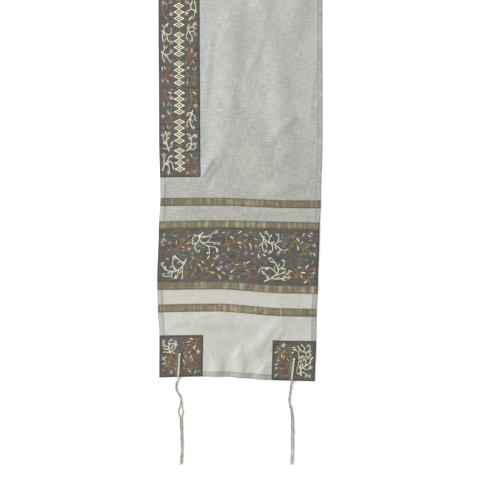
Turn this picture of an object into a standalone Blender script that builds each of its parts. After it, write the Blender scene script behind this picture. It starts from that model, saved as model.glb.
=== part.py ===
"""A tallit prayer shawl laid out flat, with its neckband, ribbons, bands, corner squares and tzitzit.

Metres, +Z up. The shawl lies on the plane Z = 0 with its length along Y and its width along X.
Every piece is placed by cut coordinates: u across the cloth and v along it, both from its middle.
"""

import math

import bmesh
import bpy
from mathutils import Vector

# Driving dimensions of the cut cloth
LENGTH = 1.800
WIDTH = 0.400
HALF_LENGTH = LENGTH / 2
HALF_WIDTH = WIDTH / 2
SILK_THICK = 0.0012
APPLIQUE_THICK = 0.0010
GAP = 0.0003

# A folded hem runs round the panel and lifts its face over a short slope.
HEM_WIDTH = 0.011
HEM_SLOPE = 0.002
HEM_RISE = 0.0008

# The neckband lies along the left edge, centred on the length.
NECKBAND_HALF_LENGTH = 0.408
NECKBAND_WIDTH = 0.100

# Ribbons and band, as distances in from each end edge
RIBBON_WIDTH = 0.019
RIBBON_IN = {"hem": 0.158, "band_outer": 0.2135, "band_inner": 0.3655, "neck": 0.421}
LAP = 0.006
LAP_SLOPE = 0.002
LAP_RISE = APPLIQUE_THICK + GAP
BAND_OUTER_IN = RIBBON_IN["band_outer"] + RIBBON_WIDTH - LAP
BAND_INNER_IN = RIBBON_IN["band_inner"] + LAP

# Corner squares, and the hole that each tzitzit passes through
SQUARE_WIDTH = 0.111
SQUARE_LENGTH = 0.100
HOLE_IN = 0.054
HOLE_FROM_EDGE = {"left": 0.052, "right": 0.055}
HOLE_RADIUS = 0.00375
HOLE_SIDES = 16
HOLE_CUT_DEPTH = 0.040

# The cloth lifts over the strands that come back under it from the hole to the edge.
TUNNEL_FLAT = 0.004
TUNNEL_FOOT = 0.011
TUNNEL_RISE = 0.0025
TUNNEL_END = 0.068

# The doubled bundle runs over the square, turns down the hole and comes back under the cloth.
BUNDLE_HALF_WIDTH = 0.0025
BUNDLE_HALF_HEIGHT = 0.0012
UNDER_HALF_HEIGHT = 0.0007
BUNDLE_CLEAR = 0.0006
OVER_STATIONS = (0.004, 0.012, 0.024, 0.036, 0.046)
UNDER_STATIONS = (0.046, 0.036, 0.020, 0.004)
TURN_STEPS = 6
TURN_SET_BACK = 0.0013
TURN_BULGE = 0.85

# How the bundle leaves the cloth's edge and narrows into the first knot, above and below
EDGE_OUT = {"over": 0.0026, "under": 0.0015}
EDGE_HALF_WIDTH = {"over": 0.0021, "under": 0.0020}
EDGE_STEP = 0.0006
KNOT_HALF_WIDTH = {"over": 0.0016, "under": 0.0014}
KNOT_APART = 0.0006

# Five knots, with these numbers of windings between them; a knot swells over its reach.
WINDS = (7, 8, 11, 13)
WIND_PITCH = 0.00103
KNOT_LENGTH = 0.0045
KNOTS_AT = [sum(WINDS[:k]) * WIND_PITCH + k * KNOT_LENGTH for k in range(len(WINDS) + 1)]
GEDIL_START = 0.005
GEDIL_LENGTH = KNOTS_AT[-1]
WINDING_RADIUS = 0.0023
KNOT_RADIUS = 0.0034
LAST_KNOT_RADIUS = 0.0038
KNOT_REACH = 0.0035
KNOT_STATIONS = (-0.0044, -0.0022, 0.0, 0.0022, 0.0044)
HEAD_START = -0.0038
HEAD_END = GEDIL_LENGTH + 0.0017
HEAD_END_SIZE = 0.9
TUBE_SIDES = 7

# Eight loose strands in two layers of four, spread over a short length past the last knot
STRANDS = 8
STRANDS_IN_LAYER = 4
STRAND_THICK = 0.0013
STRAND_ROOT_PITCH = 0.00145
STRAND_PITCH = 0.0018
STRAND_SPREAD = 0.014
STRAND_ROWS = 14
STRAND_CROWDING = 1.35
STRAND_SIDES = 4
TIP_Y = 1.111
TIP_STEPS = (0.0, 0.004, 0.002, 0.007, 0.003, 0.009, 0.005, 0.001)

# The widest step between lines of the cloth's grid, and how finely those lines are told apart
FILLER = 0.040
TOLERANCE = 1e-6

SIDES = {"left": -1, "right": 1}
ENDS = {"front": -1, "far": 1}

# How the laid cloth departs from its cut: width and sideways drift, then how each row runs.
# v along the cloth, width of the row, drift to +X, drop of the right half, rise of the middle
LAY = (
    {"v": -0.900, "width": 0.380, "drift": -0.0080, "drop": 0.0093, "arch": 0.0028},
    {"v": -0.800, "width": 0.383, "drift": -0.0062, "drop": 0.0137, "arch": 0.0012},
    {"v": -0.730, "width": 0.388, "drift": -0.0078, "drop": 0.0108, "arch": 0.0028},
    {"v": -0.665, "width": 0.393, "drift": -0.0067, "drop": 0.0090, "arch": 0.0020},
    {"v": -0.535, "width": 0.393, "drift": -0.0028, "drop": 0.0020, "arch": 0.0032},
    {"v": -0.460, "width": 0.392, "drift": 0.0008, "drop": 0.0062, "arch": 0.0008},
    {"v": -0.300, "width": 0.399, "drift": 0.0010, "drop": 0.0000, "arch": 0.0000},
    {"v": 0.000, "width": 0.400, "drift": 0.0000, "drop": 0.0000, "arch": 0.0000},
    {"v": 0.320, "width": 0.399, "drift": -0.0010, "drop": -0.0010, "arch": 0.0010},
    {"v": 0.500, "width": 0.396, "drift": 0.0015, "drop": 0.0030, "arch": -0.0030},
    {"v": 0.665, "width": 0.394, "drift": 0.0050, "drop": 0.0070, "arch": -0.0040},
    {"v": 0.780, "width": 0.388, "drift": 0.0040, "drop": 0.0090, "arch": -0.0050},
    {"v": 0.900, "width": 0.383, "drift": 0.0050, "drop": 0.0080, "arch": -0.0050},
)

# Where the drop of the right half starts across the cloth, and over what share of it
DROP_FROM = -0.3
DROP_OVER = 0.9

# The largest soft folds: where each is centred, which way it runs in degrees, and its size
FOLDS = (
    {"u": -0.030, "v": -0.150, "turn": 86, "length": 0.560, "width": 0.095, "height": 0.0060},
    {"u": 0.098, "v": -0.225, "turn": 97, "length": 0.420, "width": 0.085, "height": 0.0050},
    {"u": -0.078, "v": -0.378, "turn": 52, "length": 0.120, "width": 0.056, "height": 0.0060},
    {"u": 0.100, "v": -0.432, "turn": 12, "length": 0.170, "width": 0.056, "height": 0.0040},
    {"u": -0.092, "v": -0.600, "turn": 64, "length": 0.150, "width": 0.070, "height": 0.0035},
    {"u": 0.070, "v": -0.590, "turn": 105, "length": 0.160, "width": 0.075, "height": 0.0040},
    {"u": -0.060, "v": -0.768, "turn": -4, "length": 0.230, "width": 0.062, "height": 0.0045},
    {"u": 0.078, "v": -0.790, "turn": 48, "length": 0.160, "width": 0.058, "height": 0.0045},
    {"u": -0.052, "v": -0.885, "turn": 84, "length": 0.100, "width": 0.058, "height": 0.0055},
    {"u": 0.008, "v": -0.880, "turn": 95, "length": 0.120, "width": 0.060, "height": 0.0065},
    {"u": 0.064, "v": -0.890, "turn": 88, "length": 0.090, "width": 0.052, "height": 0.0045},
    {"u": 0.046, "v": 0.165, "turn": 93, "length": 0.500, "width": 0.090, "height": 0.0055},
    {"u": 0.150, "v": 0.060, "turn": 80, "length": 0.300, "width": 0.075, "height": 0.0045},
    {"u": -0.055, "v": 0.330, "turn": 118, "length": 0.200, "width": 0.065, "height": 0.0050},
    {"u": 0.085, "v": 0.440, "turn": 160, "length": 0.180, "width": 0.058, "height": 0.0045},
    {"u": -0.040, "v": 0.600, "turn": 72, "length": 0.160, "width": 0.072, "height": 0.0040},
    {"u": 0.055, "v": 0.775, "turn": 6, "length": 0.220, "width": 0.060, "height": 0.0045},
    {"u": -0.062, "v": 0.800, "turn": 130, "length": 0.150, "width": 0.056, "height": 0.0045},
    {"u": -0.030, "v": 0.882, "turn": 92, "length": 0.110, "width": 0.060, "height": 0.0060},
    {"u": 0.040, "v": 0.888, "turn": 86, "length": 0.095, "width": 0.056, "height": 0.0050},
)

# The route of each tzitzit past the cloth's edge: metres out from the edge, and sideways to +X
ROUTES = {
    "front_left": (
        {"out": 0.000, "side": -0.003},
        {"out": 0.017, "side": -0.008},
        {"out": 0.034, "side": -0.007},
        {"out": 0.050, "side": 0.003},
        {"out": 0.086, "side": 0.003},
        {"out": 0.130, "side": 0.005},
        {"out": 0.180, "side": 0.006},
        {"out": 0.230, "side": 0.003},
    ),
    "front_right": (
        {"out": 0.000, "side": -0.004},
        {"out": 0.012, "side": -0.006},
        {"out": 0.035, "side": -0.009},
        {"out": 0.054, "side": -0.010},
        {"out": 0.070, "side": -0.005},
        {"out": 0.100, "side": -0.002},
        {"out": 0.150, "side": -0.002},
        {"out": 0.230, "side": -0.004},
    ),
    "far_left": (
        {"out": 0.000, "side": 0.002},
        {"out": 0.020, "side": 0.006},
        {"out": 0.045, "side": 0.003},
        {"out": 0.070, "side": -0.004},
        {"out": 0.110, "side": -0.006},
        {"out": 0.160, "side": -0.001},
        {"out": 0.230, "side": 0.004},
    ),
    "far_right": (
        {"out": 0.000, "side": -0.003},
        {"out": 0.018, "side": -0.006},
        {"out": 0.040, "side": -0.002},
        {"out": 0.062, "side": 0.005},
        {"out": 0.095, "side": 0.007},
        {"out": 0.150, "side": 0.003},
        {"out": 0.230, "side": 0.006},
    ),
}

# Where the loose strands part: metres along from the last knot, and half the opening
PARTINGS = {
    "front_left": (
        {"along": 0.000, "open": 0.0000},
        {"along": 0.010, "open": 0.0010},
        {"along": 0.021, "open": 0.0042},
        {"along": 0.036, "open": 0.0006},
        {"along": 0.200, "open": 0.0004},
    ),
    "front_right": (
        {"along": 0.000, "open": 0.0000},
        {"along": 0.030, "open": 0.0004},
        {"along": 0.080, "open": 0.0008},
        {"along": 0.200, "open": 0.0004},
    ),
    "far_left": (
        {"along": 0.000, "open": 0.0000},
        {"along": 0.030, "open": 0.0006},
        {"along": 0.070, "open": 0.0026},
        {"along": 0.120, "open": 0.0006},
        {"along": 0.200, "open": 0.0010},
    ),
    "far_right": (
        {"along": 0.000, "open": 0.0000},
        {"along": 0.040, "open": 0.0018},
        {"along": 0.075, "open": 0.0004},
        {"along": 0.200, "open": 0.0014},
    ),
}

# Colours are in linear light.
FINISHES = {
    "silver_silk": {"colour": (0.51, 0.52, 0.50, 1.0), "roughness": 0.45, "metallic": 0.0},
    "slate_silk": {"colour": (0.085, 0.090, 0.090, 1.0), "roughness": 0.50, "metallic": 0.0},
    "bronze_ribbon": {"colour": (0.25, 0.21, 0.15, 1.0), "roughness": 0.38, "metallic": 0.35},
    "white_wool": {"colour": (0.82, 0.80, 0.72, 1.0), "roughness": 0.85, "metallic": 0.0},
}


def clear_scene():
    for obj in list(bpy.data.objects):
        bpy.data.objects.remove(obj, do_unlink=True)


def new_collection(name):
    collection = bpy.data.collections.new(name)
    bpy.context.scene.collection.children.link(collection)
    return collection


def finish_material(name):
    finish = FINISHES[name]
    material = bpy.data.materials.get(name) or bpy.data.materials.new(name)
    material.use_nodes = True
    shader = material.node_tree.nodes["Principled BSDF"]
    shader.inputs["Base Color"].default_value = finish["colour"]
    shader.inputs["Roughness"].default_value = finish["roughness"]
    shader.inputs["Metallic"].default_value = finish["metallic"]
    return material


def clamp(t):
    return min(1.0, max(0.0, t))


def ease(t):
    t = clamp(t)
    return t * t * (3 - 2 * t)


def from_rows(rows, key, column, at):
    """A column of a table at any value of its key, eased from row to row."""
    if at <= rows[0][key]:
        return rows[0][column]
    for low, high in zip(rows, rows[1:]):
        if at <= high[key]:
            share = ease((at - low[key]) / (high[key] - low[key]))
            return low[column] + (high[column] - low[column]) * share
    return rows[-1][column]


def along_rows(rows, key, column, at):
    """A column of a table as a smooth Catmull-Rom curve through its rows."""
    keys = [row[key] for row in rows]
    values = [row[column] for row in rows]
    last = len(rows) - 1
    i = max(0, min(last - 1, sum(k <= at for k in keys) - 1))
    t = clamp((at - keys[i]) / (keys[i + 1] - keys[i]))
    before, after = values[max(0, i - 1)], values[min(last, i + 2)]
    a, b = values[i], values[i + 1]
    slope_a, slope_b = (b - before) / 2, (after - a) / 2
    return (
        (2 * t**3 - 3 * t**2 + 1) * a
        + (t**3 - 2 * t**2 + t) * slope_a
        + (-2 * t**3 + 3 * t**2) * b
        + (t**3 - t**2) * slope_b
    )


def laid(u, v):
    """Where a point of the cut cloth lies on the surface."""
    width = from_rows(LAY, "v", "width", v)
    drift = from_rows(LAY, "v", "drift", v)
    drop = from_rows(LAY, "v", "drop", v)
    arch = from_rows(LAY, "v", "arch", v)
    across = u / HALF_WIDTH
    dropped = ease((across - DROP_FROM) / DROP_OVER) - 0.5
    x = across * width / 2 + drift
    y = v + arch * (1 - across * across) - drop * dropped
    return x, y


def fold_height(u, v):
    """The sum of the soft folds at a point of the cloth, zero where it lies flat."""
    height = 0.0
    for fold in FOLDS:
        turn = math.radians(fold["turn"])
        du, dv = u - fold["u"], v - fold["v"]
        along = abs(du * math.cos(turn) + dv * math.sin(turn)) / (fold["length"] / 2)
        across = abs(dv * math.cos(turn) - du * math.sin(turn)) / (fold["width"] / 2)
        if along < 1 and across < 1:
            ridge = math.cos(across * math.pi / 2) ** 2
            height += fold["height"] * ridge * math.cos(along * math.pi / 2)
    return height


def hole_uv(end, side):
    u = SIDES[side] * (HALF_WIDTH - HOLE_FROM_EDGE[side])
    return u, ENDS[end] * (HALF_LENGTH - HOLE_IN)


def tunnel_height(u, v):
    """How far the cloth lifts over the strands that come back under each corner."""
    inward = HALF_LENGTH - abs(v)
    side = "left" if u < 0 else "right"
    away = abs(u - hole_uv("far", side)[0])
    if inward > TUNNEL_END or away > TUNNEL_FOOT:
        return 0.0
    across = ease((TUNNEL_FOOT - away) / (TUNNEL_FOOT - TUNNEL_FLAT))
    past_hole = ease((TUNNEL_END - inward) / (TUNNEL_END - HOLE_IN - HOLE_RADIUS))
    return TUNNEL_RISE * across * past_hole


def lift(u, v):
    """The height of the cloth's underside."""
    return max(fold_height(u, v), tunnel_height(u, v))


def hem_rise(u, v):
    inward = min(HALF_WIDTH - abs(u), HALF_LENGTH - abs(v))
    return HEM_RISE * clamp((HEM_WIDTH + HEM_SLOPE - inward) / HEM_SLOPE)


def panel_thickness(u, v):
    return SILK_THICK + hem_rise(u, v)


def face(u, v):
    """The height of the panel's upper face."""
    return lift(u, v) + panel_thickness(u, v)


def lap_rise(u, v):
    """How far a ribbon climbs where it laps over the edge of the embroidered band."""
    inward = HALF_LENGTH - abs(v)
    from_outer = (inward - (BAND_OUTER_IN - 2 * LAP_SLOPE)) / LAP_SLOPE
    from_inner = ((BAND_INNER_IN + 2 * LAP_SLOPE) - inward) / LAP_SLOPE
    return LAP_RISE * clamp(min(from_outer, from_inner))


def rounded(values):
    return sorted({round(value, 6) for value in values})


def filled(values):
    """The given lines with more between them, none further apart than the filler."""
    lines = rounded(values)
    more = []
    for low, high in zip(lines, lines[1:]):
        steps = math.ceil((high - low) / FILLER - TOLERANCE)
        more += [low + (high - low) * k / steps for k in range(steps)]
    return rounded(more + [lines[-1]])


def lines_across():
    """Every u that an edge, slope or seam of some piece needs, shared by all the pieces."""
    lines = [0.0, -HALF_WIDTH + NECKBAND_WIDTH]
    for side, sign in SIDES.items():
        for inward in (0, HEM_WIDTH, HEM_WIDTH + HEM_SLOPE, SQUARE_WIDTH):
            lines.append(sign * (HALF_WIDTH - inward))
        for reach in (-TUNNEL_FOOT, -TUNNEL_FLAT, TUNNEL_FLAT, TUNNEL_FOOT):
            lines.append(hole_uv("far", side)[0] + reach)
    return filled(lines)


def lines_along():
    """Every v that an edge, slope or seam of some piece needs, shared by all the pieces."""
    inward = [0, HEM_WIDTH, HEM_WIDTH + HEM_SLOPE, HOLE_IN + HOLE_RADIUS, TUNNEL_END]
    inward += [SQUARE_LENGTH, HALF_LENGTH - NECKBAND_HALF_LENGTH]
    for start in RIBBON_IN.values():
        inward += [start, start + RIBBON_WIDTH]
    for step in range(3):
        inward += [BAND_OUTER_IN - step * LAP_SLOPE, BAND_INNER_IN + step * LAP_SLOPE]
    return filled([end * (HALF_LENGTH - distance) for distance in inward for end in (-1, 1)])


def between(lines, a, b):
    """The lines from one limit to the other, both included, whichever is the lower."""
    low, high = min(a, b), max(a, b)
    return [line for line in lines if low - TOLERANCE <= line <= high + TOLERANCE]


def add_mesh(name, bm, finish, collection):
    bmesh.ops.recalc_face_normals(bm, faces=bm.faces)
    mesh = bpy.data.meshes.new(name)
    bm.to_mesh(mesh)
    bm.free()
    mesh.materials.append(finish_material(finish))
    obj = bpy.data.objects.new(name, mesh)
    collection.objects.link(obj)
    return obj


def cloth(name, us, vs, underside, thickness, finish, collection):
    """A wall of cloth over a grid of cut lines: a flat grid, thickened, then laid in its folds."""
    bm = bmesh.new()
    bmesh.ops.create_grid(bm, x_segments=len(us) - 1, y_segments=len(vs) - 1, size=1)
    bmesh.ops.triangulate(bm, faces=bm.faces, quad_method="FIXED")
    made = bmesh.ops.extrude_face_region(bm, geom=bm.faces[:])["geom"]
    upper = {element for element in made if isinstance(element, bmesh.types.BMVert)}
    for vert in bm.verts:
        u = us[round((vert.co.x + 1) / 2 * (len(us) - 1))]
        v = vs[round((vert.co.y + 1) / 2 * (len(vs) - 1))]
        height = underside(u, v) + (thickness(u, v) if vert in upper else 0.0)
        vert.co = Vector((*laid(u, v), height))
    return add_mesh(name, bm, finish, collection)


def applique(name, us, vs, finish, collection, climb=None):
    """A piece sewn on the panel's face, made from the panel's own lines and moved out."""

    def underside(u, v):
        return face(u, v) + GAP + (climb(u, v) if climb else 0.0)

    return cloth(name, us, vs, underside, lambda u, v: APPLIQUE_THICK, finish, collection)


def cut_by(obj, cutter):
    modifier = obj.modifiers.new("holes", "BOOLEAN")
    modifier.operation = "DIFFERENCE"
    modifier.solver = "EXACT"
    modifier.object = cutter


def hide_helper(obj):
    obj.hide_render = True
    obj.display_type = "WIRE"


def hole_cutter(collection):
    """One cylinder through each corner, joined as a single cutter."""
    bm = bmesh.new()
    for end in ENDS:
        for side in SIDES:
            made = bmesh.ops.create_cone(
                bm,
                cap_ends=True,
                segments=HOLE_SIDES,
                radius1=HOLE_RADIUS,
                radius2=HOLE_RADIUS,
                depth=HOLE_CUT_DEPTH,
            )
            x, y = laid(*hole_uv(end, side))
            bmesh.ops.translate(bm, verts=made["verts"], vec=(x, y, 0))
    cutter = add_mesh("hole_cutter", bm, "slate_silk", collection)
    hide_helper(cutter)
    return cutter


def station(centre, half_width, half_height):
    return {"centre": centre, "half_width": half_width, "half_height": half_height}


def tube(bm, stations, sides, start_angle=0.0):
    """Lofts a ring at each station, wide along the ground and tall in the path's own plane."""
    path = [row["centre"] for row in stations]
    rings = []
    for i, row in enumerate(stations):
        tangent = (path[min(i + 1, len(path) - 1)] - path[max(i - 1, 0)]).normalized()
        sideways = Vector((1, 0, 0))
        sideways = (sideways - tangent * sideways.dot(tangent)).normalized()
        upwards = tangent.cross(sideways)
        ring = []
        for k in range(sides):
            angle = start_angle + 2 * math.pi * k / sides
            offset = sideways * row["half_width"] * math.cos(angle)
            offset += upwards * row["half_height"] * math.sin(angle)
            ring.append(bm.verts.new(row["centre"] + offset))
        rings.append(ring)
    for low, high in zip(rings, rings[1:]):
        for k in range(sides):
            bm.faces.new((low[k], low[(k + 1) % sides], high[(k + 1) % sides], high[k]))
    bm.faces.new(rings[0])
    bm.faces.new(rings[-1])


def knot_radius(along):
    """The radius of the wound part at a distance along it, swelling at each knot."""
    if along > GEDIL_LENGTH:
        return LAST_KNOT_RADIUS * HEAD_END_SIZE
    away = min(abs(along - knot) for knot in KNOTS_AT)
    full = LAST_KNOT_RADIUS if along > GEDIL_LENGTH - KNOT_REACH else KNOT_RADIUS
    swell = math.cos(clamp(away / KNOT_REACH) * math.pi / 2) ** 2
    return WINDING_RADIUS + (full - WINDING_RADIUS) * swell


def edge_point(end, side):
    """Where the tzitzit crosses the end edge of the cloth."""
    u = hole_uv(end, side)[0]
    return laid(u, ENDS[end] * HALF_LENGTH)


def route(end, side, out):
    """A point of the surface at a distance out from the cloth's edge, along the tzitzit."""
    x, y = edge_point(end, side)
    rows = ROUTES[f"{end}_{side}"]
    return Vector((x + along_rows(rows, "out", "side", out), y + ENDS[end] * out, 0))


def wound_head(name, end, side, collection):
    """The five knots and the windings between them, lying on the surface."""
    places = {
        min(HEAD_END, max(HEAD_START, knot + step)) for knot in KNOTS_AT for step in KNOT_STATIONS
    }
    stations = []
    for along in sorted(places):
        radius = knot_radius(along)
        centre = route(end, side, GEDIL_START + along)
        centre.z = GAP + radius
        stations.append(station(centre, radius, radius))
    bm = bmesh.new()
    tube(bm, stations, TUBE_SIDES, math.pi / TUBE_SIDES)
    return add_mesh(name, bm, "white_wool", collection)


def bundle_stations(end, side):
    """The doubled strands: out of the first knot, over the square, down the hole and back."""
    sign = ENDS[end]
    u = hole_uv(end, side)[0]
    shift = along_rows(ROUTES[f"{end}_{side}"], "out", "side", 0.0)
    edge_x, edge_y = edge_point(end, side)
    knot = route(end, side, GEDIL_START)
    knot.z = GAP + KNOT_RADIUS
    entry_over = knot + Vector((0, 0, KNOT_APART / 2))
    entry_under = knot - Vector((0, 0, KNOT_APART / 2))

    def over(inward):
        """A point on top of the corner square, this far in from the end edge."""
        v = sign * (HALF_LENGTH - inward)
        x, y = laid(u, v)
        height = face(u, v) + GAP + APPLIQUE_THICK + BUNDLE_CLEAR + BUNDLE_HALF_HEIGHT
        return Vector((x + shift * (1 - inward / HOLE_IN), y, height))

    def under(inward):
        x, y = laid(u, sign * (HALF_LENGTH - inward))
        return Vector((x, y, GAP + UNDER_HALF_HEIGHT))

    past_edge = Vector((
        (edge_x + shift + knot.x) / 2,
        edge_y + sign * EDGE_OUT["over"],
        over(0.0).z - EDGE_STEP,
    ))
    stations = [
        station(entry_over, KNOT_HALF_WIDTH["over"], BUNDLE_HALF_HEIGHT),
        station(past_edge, EDGE_HALF_WIDTH["over"], BUNDLE_HALF_HEIGHT),
    ]
    for inward in OVER_STATIONS:
        stations.append(station(over(inward), BUNDLE_HALF_WIDTH, BUNDLE_HALF_HEIGHT))
    top, low = over(HOLE_IN), under(HOLE_IN)
    radius = (top.z - low.z) / 2
    for step in range(TURN_STEPS + 1):
        share = step / TURN_STEPS
        angle = math.pi * share
        half_height = BUNDLE_HALF_HEIGHT + (UNDER_HALF_HEIGHT - BUNDLE_HALF_HEIGHT) * share
        y = top.y + sign * (TURN_SET_BACK - radius * TURN_BULGE * math.sin(angle))
        centre = Vector((top.x, y, low.z + radius * (1 + math.cos(angle))))
        stations.append(station(centre, BUNDLE_HALF_WIDTH, half_height))
    for inward in UNDER_STATIONS:
        stations.append(station(under(inward), BUNDLE_HALF_WIDTH, UNDER_HALF_HEIGHT))
    past_edge = Vector((
        (edge_x + knot.x) / 2,
        edge_y + sign * EDGE_OUT["under"],
        low.z + EDGE_STEP,
    ))
    stations.append(station(past_edge, EDGE_HALF_WIDTH["under"], UNDER_HALF_HEIGHT))
    stations.append(station(entry_under, KNOT_HALF_WIDTH["under"], UNDER_HALF_HEIGHT))
    return stations


def loop(name, end, side, collection):
    bm = bmesh.new()
    tube(bm, bundle_stations(end, side), TUBE_SIDES)
    return add_mesh(name, bm, "white_wool", collection)


def strand_stations(end, side, index):
    """One loose strand, from the last knot to its tip, with its rows closer near the knot."""
    column, layer = index % STRANDS_IN_LAYER, index // STRANDS_IN_LAYER
    slot = column - (STRANDS_IN_LAYER - 1) / 2
    start = GEDIL_START + GEDIL_LENGTH
    long = TIP_Y - abs(edge_point(end, side)[1]) - start - TIP_STEPS[index]
    root_z = GAP + LAST_KNOT_RADIUS + (layer - 0.5) * STRAND_ROOT_PITCH
    rest_z = GAP + STRAND_THICK / 2 + layer * STRAND_PITCH
    corner = STRAND_THICK / math.sqrt(2)
    stations = []
    for row in range(STRAND_ROWS + 1):
        along = long * (row / STRAND_ROWS) ** STRAND_CROWDING
        spread = ease(along / STRAND_SPREAD)
        pitch = STRAND_ROOT_PITCH + (STRAND_PITCH - STRAND_ROOT_PITCH) * spread
        opening = along_rows(PARTINGS[f"{end}_{side}"], "along", "open", along)
        point = route(end, side, start + along)
        point.x += slot * pitch + math.copysign(opening, slot)
        point.z = root_z + (rest_z - root_z) * spread
        stations.append(station(point, corner, corner))
    return stations


def loose_strands(name, end, side, collection):
    bm = bmesh.new()
    for index in range(STRANDS):
        tube(bm, strand_stations(end, side, index), STRAND_SIDES, math.pi / STRAND_SIDES)
    return add_mesh(name, bm, "white_wool", collection)


def join_into(obj, *helpers):
    """Unions the helpers into the object, and leaves them out of the render."""
    for helper in helpers:
        hide_helper(helper)
        modifier = obj.modifiers.new(helper.name, "BOOLEAN")
        modifier.operation = "UNION"
        modifier.solver = "EXACT"
        modifier.object = helper


def tzitzit(end, side, parts, helpers):
    name = f"tzitzit_{end}_{side}"
    head = wound_head(name, end, side, parts)
    doubled = loop(f"{name}_loop", end, side, helpers)
    strands = loose_strands(f"{name}_strands", end, side, helpers)
    join_into(head, doubled, strands)


def sewn_end(end, us, vs, holes, parts):
    """The band, the four ribbons and the two corner squares of one end of the shawl."""

    def rows_in(start, stop):
        return between(vs, ENDS[end] * (HALF_LENGTH - start), ENDS[end] * (HALF_LENGTH - stop))

    applique(f"band_{end}", us, rows_in(BAND_OUTER_IN, BAND_INNER_IN), "slate_silk", parts)
    for place, start in RIBBON_IN.items():
        ribbon_rows = rows_in(start, start + RIBBON_WIDTH)
        applique(f"ribbon_{end}_{place}", us, ribbon_rows, "bronze_ribbon", parts, lap_rise)
    for side, sign in SIDES.items():
        columns = between(us, sign * HALF_WIDTH, sign * (HALF_WIDTH - SQUARE_WIDTH))
        rows = rows_in(0, SQUARE_LENGTH)
        square = applique(f"corner_{end}_{side}", columns, rows, "slate_silk", parts)
        cut_by(square, holes)


def main():
    clear_scene()
    parts = new_collection("tallit")
    helpers = new_collection("cutters_and_helpers")
    us, vs = lines_across(), lines_along()
    holes = hole_cutter(helpers)

    panel = cloth("shawl_panel", us, vs, lift, panel_thickness, "silver_silk", parts)
    cut_by(panel, holes)

    neck_us = between(us, -HALF_WIDTH, -HALF_WIDTH + NECKBAND_WIDTH)
    neck_vs = between(vs, -NECKBAND_HALF_LENGTH, NECKBAND_HALF_LENGTH)
    applique("neckband", neck_us, neck_vs, "slate_silk", parts)

    for end in ENDS:
        sewn_end(end, us, vs, holes, parts)
        for side in SIDES:
            tzitzit(end, side, parts, helpers)


main()
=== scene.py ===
"""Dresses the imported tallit: silk panel, neckband, bands, ribbons, corner squares and tzitzit.

Every cloth piece is worked out flat, in cut coordinates: u across the cloth, v along it, and a
height over the layer that carries it. It is then laid over the folds of the shawl. Metres, +Z up.
"""

import math

import bpy
import numpy as np
from bpy.props import FloatProperty, FloatVectorProperty, IntProperty, PointerProperty
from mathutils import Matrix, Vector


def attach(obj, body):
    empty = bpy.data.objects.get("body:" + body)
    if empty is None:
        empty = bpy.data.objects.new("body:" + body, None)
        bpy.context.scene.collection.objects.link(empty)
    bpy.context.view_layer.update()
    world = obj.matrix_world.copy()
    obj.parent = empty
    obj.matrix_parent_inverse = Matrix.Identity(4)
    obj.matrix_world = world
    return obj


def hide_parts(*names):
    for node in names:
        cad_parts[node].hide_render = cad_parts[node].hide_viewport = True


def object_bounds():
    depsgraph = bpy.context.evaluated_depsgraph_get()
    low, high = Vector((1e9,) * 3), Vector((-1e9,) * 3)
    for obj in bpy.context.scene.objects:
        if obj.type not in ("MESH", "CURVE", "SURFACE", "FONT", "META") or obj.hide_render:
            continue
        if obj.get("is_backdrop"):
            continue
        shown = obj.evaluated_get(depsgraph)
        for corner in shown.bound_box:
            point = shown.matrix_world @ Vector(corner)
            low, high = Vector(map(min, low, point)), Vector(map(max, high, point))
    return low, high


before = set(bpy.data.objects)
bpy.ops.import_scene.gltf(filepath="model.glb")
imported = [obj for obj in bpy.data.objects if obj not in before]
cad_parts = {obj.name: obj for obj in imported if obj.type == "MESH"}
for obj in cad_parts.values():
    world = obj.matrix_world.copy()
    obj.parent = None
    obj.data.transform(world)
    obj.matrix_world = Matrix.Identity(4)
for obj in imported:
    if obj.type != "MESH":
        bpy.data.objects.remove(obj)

bl_info = {
    "name": "Tallit Prayer Shawl",
    "version": (1, 0, 0),
    "blender": (4, 5, 0),
    "location": "3D View > Sidebar > Tallit",
    "description": "Makes the cloth, embroidery, seams and tzitzit of a tallit laid out flat",
    "category": "Object",
}

CAD_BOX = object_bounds()


def table(columns, *rows):
    """Rows of numbers under named columns."""
    return tuple(dict(zip(columns.split(), row)) for row in rows)


# The cut cloth, as in the solids
HALF_LENGTH = 0.900
HALF_WIDTH = 0.200
SILK_THICK = 0.0012
APPLIQUE_THICK = 0.0010
GAP = 0.0003
HEM_WIDTH = 0.011
HEM_SLOPE = 0.002
HEM_RISE = 0.0008
NECKBAND_HALF_LENGTH = 0.408
NECKBAND_WIDTH = 0.100
RIBBON_WIDTH = 0.019
RIBBON_IN = {"hem": 0.158, "band_outer": 0.2135, "band_inner": 0.3655, "neck": 0.421}
LAP = 0.006
LAP_SLOPE = 0.002
LAP_RISE = APPLIQUE_THICK + GAP
BAND_OUTER_IN = RIBBON_IN["band_outer"] + RIBBON_WIDTH - LAP
BAND_INNER_IN = RIBBON_IN["band_inner"] + LAP
SQUARE_WIDTH = 0.111
SQUARE_LENGTH = 0.100
HOLE_IN = 0.054
HOLE_FROM_EDGE = {"left": 0.052, "right": 0.055}
HOLE_RADIUS = 0.00375
TUNNEL_FLAT = 0.004
TUNNEL_FOOT = 0.011
TUNNEL_RISE = 0.0025
TUNNEL_END = 0.068
SIDES = {"left": -1, "right": 1}
ENDS = {"front": -1, "far": 1}
CORNERS = [(end, side) for end in ENDS for side in SIDES]

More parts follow.
